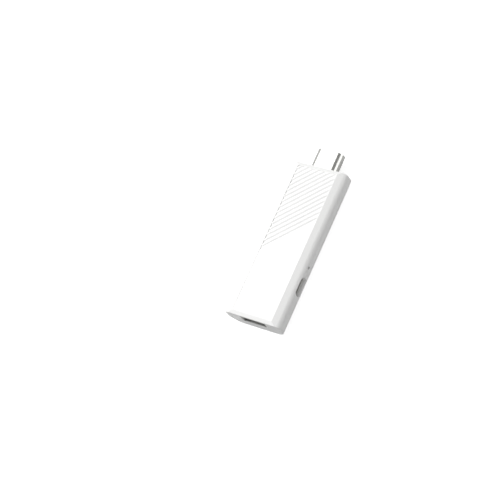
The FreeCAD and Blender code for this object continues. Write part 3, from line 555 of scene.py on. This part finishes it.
# Connector mouldings
# The carriers of the contacts and the body of the reset switch, moulded in black or grey liquid
# crystal polymer with glass, and snapped into their shells. The power socket's carrier is the grey
# one. It has a foot moulded under it that raises its socket to the opening.
black_lcp = "#131314"
black_streak = "#242425"
grey_lcp = "#8A8A88"
grey_streak = "#949492"
streak_length = 0.5 * MM


def moulded_lcp(name, colour, streak_colour):
    """Liquid crystal polymer: half matt, with short streaks where the melt flowed."""
    material, tree = start_material(name)
    place = add_node(tree, "ShaderNodeTexCoord").outputs["Object"]
    flow = add_node(tree, "ShaderNodeMapping", inputs={"Vector": place, "Scale": (1, 0.25, 1)})
    streak = add_node(tree, "ShaderNodeTexNoise",
                      inputs={"Vector": flow.outputs[0], "Scale": 1 / streak_length, "Detail": 4.0})
    tint = add_node(tree, "ShaderNodeMix", {"data_type": "RGBA"},
                    {0: streak.outputs["Fac"], 6: linear(colour), 7: linear(streak_colour)})
    rough = add_node(tree, "ShaderNodeMapRange",
                     inputs={"Value": streak.outputs["Fac"], "To Min": 0.42, "To Max": 0.62})
    bump = add_node(tree, "ShaderNodeBump",
                    inputs={"Strength": 0.4, "Distance": 0.006 * MM,
                            "Height": streak.outputs["Fac"]})
    shader = add_node(tree, "ShaderNodeBsdfPrincipled",
                      inputs={"Base Color": tint.outputs[2], "Roughness": rough.outputs[0],
                              "IOR": 1.62, "Normal": bump.outputs[0]})
    add_node(tree, "ShaderNodeOutputMaterial", inputs={"Surface": shader.outputs[0]})
    return material


connector_black = moulded_lcp("moulded_black_lcp", black_lcp, black_streak)
for carrier in ("hdmi_plug_insulator", "usb_socket_tongue", "reset_switch_body"):
    dress(carrier, connector_black)
dress("power_socket_tongue", moulded_lcp("moulded_grey_lcp", grey_lcp, grey_streak))


# Contacts
# Spring strips of rolled bronze, stamped and plated with hard gold over nickel, which is warm and
# half bright. They are pressed into slots of their carriers and soldered to the board.
gold_bright = "#E3B968"
gold_dull = "#C99A4B"


def gold_plate(name, stretch):
    """Hard gold over nickel: warm and half bright, on strip rolled along one way."""
    return rolled_metal(name, gold_bright, gold_dull, stretch, line=0.12 * MM,
                        rough_low=0.22, rough_high=0.34, relief=0.001 * MM)


contact_gold = gold_plate("hard_gold_plate", (1, 0.05, 1))
for row in ("hdmi_plug_contacts", "usb_socket_contacts"):
    dress(row, contact_gold)
dress("power_socket_contacts", gold_plate("hard_gold_plate_short", (0.05, 1, 1)))


# USB-A socket
# A shell folded from tinned steel strip, with four spring tongues, soldered to the board through
# four legs. Tinning is paler and less bright than nickel.
tin_bright = "#C6C6C4"
tin_dull = "#AEAEAB"
usb_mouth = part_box("usb_socket_shell")[0].y

usb = copy_of("usb_socket_shell", "usb_jacket")
pick_edges(usb, lambda middle, along, normals: crisp(normals)
           and middle.y < usb_mouth + outer_margin)
soften(sheet_edge)
smooth(usb)
stand_for(usb, "usb_socket_shell",
          rolled_metal("tinned_steel_strip", tin_bright, tin_dull, stretch=(1, 0.05, 1),
                       line=0.3 * MM, rough_low=0.26, rough_high=0.38, relief=0.002 * MM))


# Power socket
# A round-ended shell drawn from one piece of steel and tinned, without a seam. Drawing leaves lines
# towards its mouth, which has a small round edge. It is soldered to the board by two long legs.
drawn_bright = "#EAEAE8"
drawn_dull = "#DCDCD9"
power_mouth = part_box("power_socket_shell")[1].x

power = copy_of("power_socket_shell", "power_jacket")
pick_edges(power, lambda middle, along, normals: crisp(normals)
           and middle.x > power_mouth - outer_margin)
soften(sheet_edge)
smooth(power)
stand_for(power, "power_socket_shell",
          rolled_metal("tinned_drawn_steel", drawn_bright, drawn_dull, stretch=(0.05, 1, 1),
                       line=0.3 * MM, rough_low=0.42, rough_high=0.52, relief=0.002 * MM))


# Reset switch
# A side-push switch: a thin stainless cover clipped round a black body, a bowed stainless snap
# strip inside it, and a dark acetal plunger that a pin through the case wall pushes.
steel_bright = "#CFCFCB"
steel_dull = "#B7B7B2"
acetal_colour = "#1B1B1D"
acetal_shade = "#262628"
acetal_cloud = 0.4 * MM
for sheet in ("reset_switch_frame", "reset_switch_dome"):
    dress(sheet, rolled_metal("rolled_stainless_" + sheet, steel_bright, steel_dull,
                              stretch=(1, 0.08, 1), line=0.1 * MM,
                              rough_low=0.22, rough_high=0.36, relief=0.001 * MM))


def moulded_acetal():
    """Dark acetal: slippery and half bright, with a faint cloud from the mould."""
    material, tree = start_material("moulded_dark_acetal")
    place = add_node(tree, "ShaderNodeTexCoord").outputs["Object"]
    cloud = add_node(tree, "ShaderNodeTexNoise",
                     inputs={"Vector": place, "Scale": 1 / acetal_cloud, "Detail": 3.0})
    tint = add_node(tree, "ShaderNodeMix", {"data_type": "RGBA"},
                    {0: cloud.outputs["Fac"], 6: linear(acetal_colour), 7: linear(acetal_shade)})
    rough = add_node(tree, "ShaderNodeMapRange",
                     inputs={"Value": cloud.outputs["Fac"], "To Min": 0.28, "To Max": 0.42})
    shader = add_node(tree, "ShaderNodeBsdfPrincipled",
                      inputs={"Base Color": tint.outputs[2], "Roughness": rough.outputs[0],
                              "IOR": 1.48})
    add_node(tree, "ShaderNodeOutputMaterial", inputs={"Surface": shader.outputs[0]})
    return material


dress("reset_plunger", moulded_acetal())


# Chips
# Processor, storage, power and memory packages: black epoxy with silica filler, moulded and lightly
# blasted, soldered to the board. The processor sits on a thin green carrier of its own.
epoxy_colour = "#19191B"
epoxy_speck = "#2B2B2E"
carrier_colour = "#1E4A33"
carrier_top = parting + 0.45 * MM
sand_size = 0.15 * MM


def moulded_epoxy(name, carried=False):
    """Filled black epoxy: a fine sandy grain from the blasted mould, with grey specks of filler."""
    material, tree = start_material(name)
    place = add_node(tree, "ShaderNodeTexCoord").outputs["Object"]
    sand = add_node(tree, "ShaderNodeTexNoise",
                    inputs={"Vector": place, "Scale": 1 / sand_size, "Detail": 5.0,
                            "Roughness": 0.7})
    tint = add_node(tree, "ShaderNodeMix", {"data_type": "RGBA"},
                    {0: sand.outputs["Fac"], 6: linear(epoxy_colour), 7: linear(epoxy_speck)})
    if carried:
        parts = add_node(tree, "ShaderNodeSeparateXYZ", inputs={0: place})
        under = add_node(tree, "ShaderNodeMath", {"operation": "LESS_THAN"},
                         {0: parts.outputs["Z"], 1: carrier_top})
        tint = add_node(tree, "ShaderNodeMix", {"data_type": "RGBA"},
                        {0: under.outputs[0], 6: tint.outputs[2], 7: linear(carrier_colour)})
    rough = add_node(tree, "ShaderNodeMapRange",
                     inputs={"Value": sand.outputs["Fac"], "To Min": 0.5, "To Max": 0.7})
    bump = add_node(tree, "ShaderNodeBump",
                    inputs={"Strength": 0.5, "Distance": 0.006 * MM, "Height": sand.outputs["Fac"]})
    shader = add_node(tree, "ShaderNodeBsdfPrincipled",
                      inputs={"Base Color": tint.outputs[2], "Roughness": rough.outputs[0],
                              "IOR": 1.55, "Normal": bump.outputs[0]})
    add_node(tree, "ShaderNodeOutputMaterial", inputs={"Surface": shader.outputs[0]})
    return material


dress("processor", moulded_epoxy("blasted_epoxy_on_carrier", carried=True))
chip_epoxy = moulded_epoxy("blasted_epoxy")
for chip in ("memory_chips", "flash_chip", "power_chip"):
    dress(chip, chip_epoxy)


# Thermal pad
# A soft silicone sheet with ceramic filler, calendered on a woven liner that prints its weave into
# it. It is pressed between the processor and the sink and sticks to both.
pad_colour = "#7C93AC"
painted_weave_shade = "#6C8299"
weave_pitch = 0.5 * MM
# The wave texture repeats this often at scale 1.
wave_repeat = 0.314


def filled_silicone():
    """Blue-grey silicone gap pad: dull and tacky, with the print of a woven liner, and painted
    shade in the print's hollows.
    """
    material, tree = start_material("calendered_silicone_pad")
    place = add_node(tree, "ShaderNodeTexCoord").outputs["Object"]
    warp = add_node(tree, "ShaderNodeTexWave", {"bands_direction": "X"},
                    {"Vector": place, "Scale": wave_repeat / weave_pitch})
    weft = add_node(tree, "ShaderNodeTexWave", {"bands_direction": "Y"},
                    {"Vector": place, "Scale": wave_repeat / weave_pitch})
    weave = add_node(tree, "ShaderNodeMath", {"operation": "MULTIPLY"},
                     {0: warp.outputs["Fac"], 1: weft.outputs["Fac"]})
    # painted shade: the colour is darker where the weave print is low, following its relief
    tint = add_node(tree, "ShaderNodeMix", {"data_type": "RGBA"},
                    {0: weave.outputs[0], 6: linear(painted_weave_shade), 7: linear(pad_colour)})
    rough = add_node(tree, "ShaderNodeMapRange",
                     inputs={"Value": weave.outputs[0], "To Min": 0.6, "To Max": 0.75})
    bump = add_node(tree, "ShaderNodeBump",
                    inputs={"Strength": 0.5, "Distance": 0.02 * MM, "Height": weave.outputs[0]})
    shader = add_node(tree, "ShaderNodeBsdfPrincipled",
                      inputs={"Base Color": tint.outputs[2], "Roughness": rough.outputs[0],
                              "IOR": 1.41, "Normal": bump.outputs[0]})
    add_node(tree, "ShaderNodeOutputMaterial", inputs={"Surface": shader.outputs[0]})
    return material


dress("thermal_pad", filled_silicone())


# Heat sink
# A finned length sawn from an aluminium extrusion, left plain. The die draws lines along the fins.
# It is held down by the thermal pad that sticks it to the processor.
aluminium_bright = "#D3D5D7"
aluminium_dull = "#BBBEC1"
dress("heat_sink", rolled_metal("extruded_aluminium", aluminium_bright, aluminium_dull,
                                stretch=(1, 0.02, 1), line=0.2 * MM,
                                rough_low=0.34, rough_high=0.5, relief=0.004 * MM))


# Power inductors
# Coils pressed into blocks of iron powder with epoxy, soldered beside the power chip.
# Pressing leaves them matt and dark grey, with lighter grains.
ferrite_colour = "#2C2D30"
ferrite_grain = "#4A4C50"
grain_size = 0.14 * MM


def pressed_powder():
    """Pressed iron powder: matt, dark grey, with grains that show as lighter specks."""
    material, tree = start_material("pressed_iron_powder")
    place = add_node(tree, "ShaderNodeTexCoord").outputs["Object"]
    grains = add_node(tree, "ShaderNodeTexVoronoi",
                      inputs={"Vector": place, "Scale": 1 / grain_size})
    tint = add_node(tree, "ShaderNodeMix", {"data_type": "RGBA"},
                    {0: grains.outputs["Distance"], 6: linear(ferrite_grain),
                     7: linear(ferrite_colour)})
    rough = add_node(tree, "ShaderNodeMapRange",
                     inputs={"Value": grains.outputs["Distance"], "To Min": 0.5, "To Max": 0.7})
    bump = add_node(tree, "ShaderNodeBump",
                    inputs={"Strength": 0.5, "Distance": 0.01 * MM,
                            "Height": grains.outputs["Distance"]})
    shader = add_node(tree, "ShaderNodeBsdfPrincipled",
                      inputs={"Base Color": tint.outputs[2], "Roughness": rough.outputs[0],
                              "IOR": 1.6, "Normal": bump.outputs[0]})
    add_node(tree, "ShaderNodeOutputMaterial", inputs={"Surface": shader.outputs[0]})
    return material


dress("power_inductors", pressed_powder())


# Small capacitors and resistors
# Moulded tantalum capacitors, ceramic capacitors and chip resistors, soldered by their end caps.
# Each has a body of its own stuff between two tinned ends, and the tantalum ones a dark band.
tantalum_colour = "#C98F3A"
tantalum_band = "#5A3A16"
ceramic_colour = "#A98A62"
resistor_colour = "#17171A"
end_tin = "#C9C9C6"
body_grain = 0.2 * MM
gloss_spread = 0.15
band_share = 0.5


def capped_body(name, body, band, axis, node, cap, rough_low):
    """A small body with a tinned cap at each end along an axis, and a band inside one cap."""
    low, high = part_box(node)
    at = "XYZ".index(axis)
    middle = (low[at] + high[at]) / 2
    half = (high[at] - low[at]) / 2
    material, tree = start_material(name)
    place = add_node(tree, "ShaderNodeTexCoord").outputs["Object"]
    grain = add_node(tree, "ShaderNodeTexNoise", inputs={"Vector": place, "Scale": 1 / body_grain})
    along = add_node(tree, "ShaderNodeSeparateXYZ", inputs={0: place}).outputs[axis]
    inside = add_node(tree, "ShaderNodeMath", {"operation": "COMPARE"},
                      {0: along, 1: middle, 2: half - cap})
    ends = add_node(tree, "ShaderNodeMath", {"operation": "SUBTRACT"},
                    {0: 1.0, 1: inside.outputs[0]})
    banded = add_node(tree, "ShaderNodeMath", {"operation": "GREATER_THAN"},
                      {0: along, 1: middle + half * (1 - band_share)})
    tint = add_node(tree, "ShaderNodeMix", {"data_type": "RGBA"},
                    {0: banded.outputs[0], 6: linear(body), 7: linear(band)})
    tint = add_node(tree, "ShaderNodeMix", {"data_type": "RGBA"},
                    {0: ends.outputs[0], 6: tint.outputs[2], 7: linear(end_tin)})
    rough = add_node(tree, "ShaderNodeMapRange",
                     inputs={"Value": grain.outputs["Fac"], "To Min": rough_low,
                             "To Max": rough_low + gloss_spread})
    bump = add_node(tree, "ShaderNodeBump",
                    inputs={"Strength": 0.4, "Distance": 0.005 * MM,
                            "Height": grain.outputs["Fac"]})
    shader = add_node(tree, "ShaderNodeBsdfPrincipled",
                      inputs={"Base Color": tint.outputs[2], "Roughness": rough.outputs[0],
                              "Metallic": ends.outputs[0], "Normal": bump.outputs[0]})
    add_node(tree, "ShaderNodeOutputMaterial", inputs={"Surface": shader.outputs[0]})
    return material


dress("reservoir_capacitors",
      capped_body("moulded_tantalum", tantalum_colour, tantalum_band, "Y", "reservoir_capacitors",
                  cap=0.12 * MM, rough_low=0.45))
dress("filter_capacitors",
      capped_body("fired_ceramic", ceramic_colour, ceramic_colour, "X", "filter_capacitors",
                  cap=0.3 * MM, rough_low=0.3))
dress("chip_resistors",
      capped_body("glazed_resistor", resistor_colour, resistor_colour, "X", "chip_resistors",
                  cap=0.2 * MM, rough_low=0.2))


# Crystals and radio
# Two clock crystals in tinned cans and a radio module: its own dark board with a tinned can over
# it. The cans are drawn from thin sheet, so their tops are slightly dimpled. All are soldered down.
can_bright = "#CACAC7"
can_dull = "#B2B2AE"
module_mask = "#0B2E4A"
module_track = "#13456B"
drawn_can = rolled_metal("tinned_drawn_can", can_bright, can_dull, stretch=(1, 0.6, 1),
                         line=0.8 * MM, rough_low=0.26, rough_high=0.38, relief=0.01 * MM)
for can in ("clock_crystals", "wifi_shield"):
    dress(can, drawn_can)
dress("wifi_module", masked_board("masked_blue_module", module_mask, module_track))


# Antenna
# A gold-plated coaxial fitting, its cable in a dark fluoropolymer jacket, and an antenna of copper
# on amber polyimide film, bonded to a bed inside the upper case.
coax_bright = "#DDB263"
coax_dull = "#C4964A"
jacket_colour = "#2B2B2E"
jacket_shade = "#202022"
film_colour = "#A8651D"
copper_colour = "#C87A45"
ripple_length = 0.8 * MM
bar_length = 4.0 * MM
bar_pitch = 1.6 * MM
bar_gap = 0.35 * MM
turned_gold = rolled_metal("turned_gold_plate", coax_bright, coax_dull, stretch=(1, 1, 0.05),
                           line=0.15 * MM, rough_low=0.22, rough_high=0.32, relief=0.002 * MM)
for fitting in ("antenna_socket", "antenna_plug"):
    dress(fitting, turned_gold)


def extruded_jacket():
    """Dark fluoropolymer jacket: waxy and half bright, with a slow ripple from the extruder."""
    material, tree = start_material("extruded_fluoropolymer")
    place = add_node(tree, "ShaderNodeTexCoord").outputs["Object"]
    ripple = add_node(tree, "ShaderNodeTexNoise",
                      inputs={"Vector": place, "Scale": 1 / ripple_length})
    tint = add_node(tree, "ShaderNodeMix", {"data_type": "RGBA"},
                    {0: ripple.outputs["Fac"], 6: linear(jacket_colour), 7: linear(jacket_shade)})
    rough = add_node(tree, "ShaderNodeMapRange",
                     inputs={"Value": ripple.outputs["Fac"], "To Min": 0.3, "To Max": 0.45})
    bump = add_node(tree, "ShaderNodeBump",
                    inputs={"Strength": 0.3, "Distance": 0.01 * MM,
                            "Height": ripple.outputs["Fac"]})
    shader = add_node(tree, "ShaderNodeBsdfPrincipled",
                      inputs={"Base Color": tint.outputs[2], "Roughness": rough.outputs[0],
                              "IOR": 1.35, "Normal": bump.outputs[0]})
    add_node(tree, "ShaderNodeOutputMaterial", inputs={"Surface": shader.outputs[0]})
    return material


def copper_on_film():
    """Amber polyimide over etched copper, which shows through as paler bars."""
    material, tree = start_material("polyimide_antenna_film")
    place = add_node(tree, "ShaderNodeTexCoord").outputs["Object"]
    upright = add_node(tree, "ShaderNodeMapping",
                       inputs={"Vector": place, "Rotation": (0, math.radians(90), 0)})
    bars = add_node(tree, "ShaderNodeTexBrick",
                    inputs={"Vector": upright.outputs[0], "Scale": 1.0, "Brick Width": bar_length,
                            "Row Height": bar_pitch, "Mortar Size": bar_gap, "Mortar Smooth": 0.05})
    tint = add_node(tree, "ShaderNodeMix", {"data_type": "RGBA"},
                    {0: bars.outputs["Fac"], 6: linear(copper_colour), 7: linear(film_colour)})
    bump = add_node(tree, "ShaderNodeBump", {"invert": True},
                    {"Strength": 0.5, "Distance": 0.02 * MM, "Height": bars.outputs["Fac"]})
    rough = add_node(tree, "ShaderNodeMapRange",
                     inputs={"Value": bars.outputs["Fac"], "To Min": 0.28, "To Max": 0.36})
    shader = add_node(tree, "ShaderNodeBsdfPrincipled",
                      inputs={"Base Color": tint.outputs[2], "Roughness": rough.outputs[0],
                              "IOR": 1.7, "Normal": bump.outputs[0]})
    add_node(tree, "ShaderNodeOutputMaterial", inputs={"Surface": shader.outputs[0]})
    return material


dress("antenna_cable", extruded_jacket())
dress("antenna_strip", copper_on_film())


# Upper case
# The lid of the same moulded ABS, snapped onto the lower case with six hooks. It has a flat rim
# round the plate, slopes that fall from the rim, and round shoulders that run into the sides.
case_top = cad_box[1][2]
rim_edge = 0.03 * MM
upright_lean = 0.1
slope_foot = 12.05 * MM
shoulder_radius = 3.7 * MM
shoulder_level = 8.663 * MM
mouth_margin = 2.0 * MM
mouths_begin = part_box("power_socket_shell")[0].y - mouth_margin
mouths_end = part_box("reset_plunger")[1].y + mouth_margin


def on_shoulder(point):
    """Whether a point lies on the round upper part of a side."""
    out = math.hypot(abs(point.x) - half_width + shoulder_radius, point.z - shoulder_level)
    return shoulder_level < point.z < slope_foot and abs(out - shoulder_radius) < outer_margin


def on_lid(point):
    """Whether a point lies on the ends, the sides, the shoulders, the slopes or the rim."""
    on_upright = abs(abs(point.x) - half_width) < outer_margin
    return (on_end(point) or on_upright or on_keel(point) or on_shoulder(point)
            or point.z > slope_foot)


def by_side_mouths(point):
    """Whether a point is at the power opening or the pinhole, whose chamfers stay as moulded."""
    return point.x > 0 and mouths_begin < point.y < mouths_end


def beside_upright(normals):
    """Whether one of two faces stands upright."""
    return min(abs(normals[0].z), abs(normals[1].z)) < upright_lean


upper = copy_of("top_case", "upper_case")
pick_edges(upper, lambda middle, along, normals: on_lid(middle) and middle.z < slope_foot
           and crisp(normals) and not on_seam(middle) and not by_side_mouths(middle))
soften(opening_edge)
pick_edges(upper, lambda middle, along, normals: middle.z > case_top - outer_margin
           and beside_upright(normals))
soften(rim_edge)
smooth(upper)
stand_for(upper, "top_case", white_abs)


# Top plate
# A separate flat cover of the same ABS, a shade smoother, pressed into its recess on six pins.
# Diagonal ribs with round tops and valleys run over its far half. Its border falls away a little.
plate_growth = Vector((0.045 * MM, 0.045 * MM, 0))
plate_low, plate_high = (Vector(corner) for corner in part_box("top_plate"))
plate_low -= plate_growth
plate_high += plate_growth
plate_thickness = 1.0 * MM
plate_underside = plate_high.z - plate_thickness
plate_corner = 0.9 * MM
corner_segments = 8
border_run = 1.9 * MM
border_drop = 0.15 * MM
plate_edge = 0.03 * MM
rib_pitch = 2.1 * MM
rib_depth = 0.47 * MM
rib_steps = 12
rib_rows = 17
rib_turn = math.radians(45)
rib_line = -0.95 * MM
crest_dip = 0.004 * MM
cutter_length = 110 * MM
cutter_height = 1.5 * MM
pin_radius = 0.9 * MM
pin_faces = 32
pin_edge = 0.12 * MM
pin_x = 8.04 * MM
pin_rows = (-36.8 * MM, -5.25 * MM, 26.3 * MM)
faces_up = 0.9
nearly = 0.01 * MM

plate_size = Vector((plate_high.x - plate_low.x, plate_high.y - plate_low.y, plate_thickness))
plate_middle = Vector((0, (plate_low.y + plate_high.y) / 2, (plate_high.z + plate_underside) / 2))
bpy.ops.mesh.primitive_cube_add(size=1, location=plate_middle)
plate = bpy.context.object
plate.name = "ribbed_plate"
plate.scale = plate_size
bpy.ops.object.transform_apply(location=True, rotation=True, scale=True)


def pick_upper_faces(piece):
    """Select the faces that look up."""
    clear_picks("FACE")
    for face in piece.data.polygons:
        face.select = face.normal.z > faces_up
    bpy.ops.object.mode_set(mode="EDIT")


def on_plate_outline(point):
    """Whether a point lies on the plate's sides or ends."""
    return (abs(point.x) > plate_high.x - nearly or point.y < plate_low.y + nearly
            or point.y > plate_high.y - nearly)


pick_upper_faces(plate)
bpy.ops.mesh.inset(thickness=border_run, depth=0)
pick_points(plate, lambda place: place.z > plate_high.z - nearly and on_plate_outline(place))
bpy.ops.transform.translate(value=(0, 0, -border_drop))
pick_edges(plate, lambda middle, along, normals: abs(along.z) > plate_size.z / 2
           and abs(middle.x) > plate_high.x - nearly)
bpy.ops.mesh.bevel(offset=plate_corner, segments=corner_segments, profile=0.5, clamp_overlap=False)
bpy.ops.object.mode_set(mode="OBJECT")
rim_level = plate_high.z - border_drop
pick_edges(plate, lambda middle, along, normals: abs(middle.z - rim_level) < 2 * nearly
           and beside_upright(normals))
soften(plate_edge)

ribs_wide = rib_rows * rib_pitch
from_line = (ribs_wide - rib_pitch) / 2
cutter_middle = Vector((-math.sin(rib_turn) * from_line, rib_line + math.cos(rib_turn) * from_line,
                        plate_high.z - crest_dip))
bpy.ops.mesh.primitive_grid_add(x_subdivisions=1, y_subdivisions=rib_rows * rib_steps, size=1)
cutter = bpy.context.object
cutter.name = "rib_cutter"
cutter.scale = (cutter_length, ribs_wide, 1)
bpy.ops.object.transform_apply(location=True, rotation=True, scale=True)
step_width = rib_pitch / rib_steps
for step in range(1, rib_steps):
    pick_points(cutter,
                lambda place: round((place.y + ribs_wide / 2) / step_width) % rib_steps == step)
    dip = rib_depth / 2 * (1 - math.cos(2 * math.pi * step / rib_steps))
    bpy.ops.transform.translate(value=(0, 0, -dip))
bpy.ops.mesh.select_mode(type="FACE")
bpy.ops.mesh.select_all(action="SELECT")
bpy.ops.mesh.extrude_region_move(TRANSFORM_OT_translate={"value": (0, 0, cutter_height)})
bpy.ops.mesh.select_all(action="SELECT")
bpy.ops.mesh.normals_make_consistent(inside=False)
bpy.ops.object.mode_set(mode="OBJECT")
cutter.location = cutter_middle
cutter.rotation_euler = (0, 0, rib_turn)
bpy.ops.object.transform_apply(location=True, rotation=True, scale=True)

work_on(plate)
ribbing = plate.modifiers.new("ribs", "BOOLEAN")
ribbing.operation = "DIFFERENCE"
ribbing.solver = "EXACT"
ribbing.object = cutter
bpy.ops.object.modifier_apply(modifier=ribbing.name)
bpy.data.objects.remove(cutter)

pin_top = plate_underside + nearly
pin_middle = (pin_top + plate_low.z) / 2
pins = []
for row in pin_rows:
    for side in (-1, 1):
        bpy.ops.mesh.primitive_cylinder_add(vertices=pin_faces, radius=pin_radius,
                                            end_fill_type="NGON", depth=pin_top - plate_low.z,
                                            location=(side * pin_x, row, pin_middle))
        pins.append(bpy.context.object)
work_on(plate)
for pin in pins:
    pin.select_set(True)
bpy.ops.object.join()
pick_edges(plate, lambda middle, along, normals: abs(middle.z - plate_low.z) < nearly
           and crisp(normals))
bpy.ops.mesh.bevel(offset=pin_edge, segments=1, clamp_overlap=False)
bpy.ops.object.mode_set(mode="OBJECT")
smooth(plate)
white_cover = moulded_abs("moulded_white_cover", rough_low=0.36, rough_high=0.42,
                          relief=0.003 * MM)
stand_for(plate, "top_plate", white_cover)
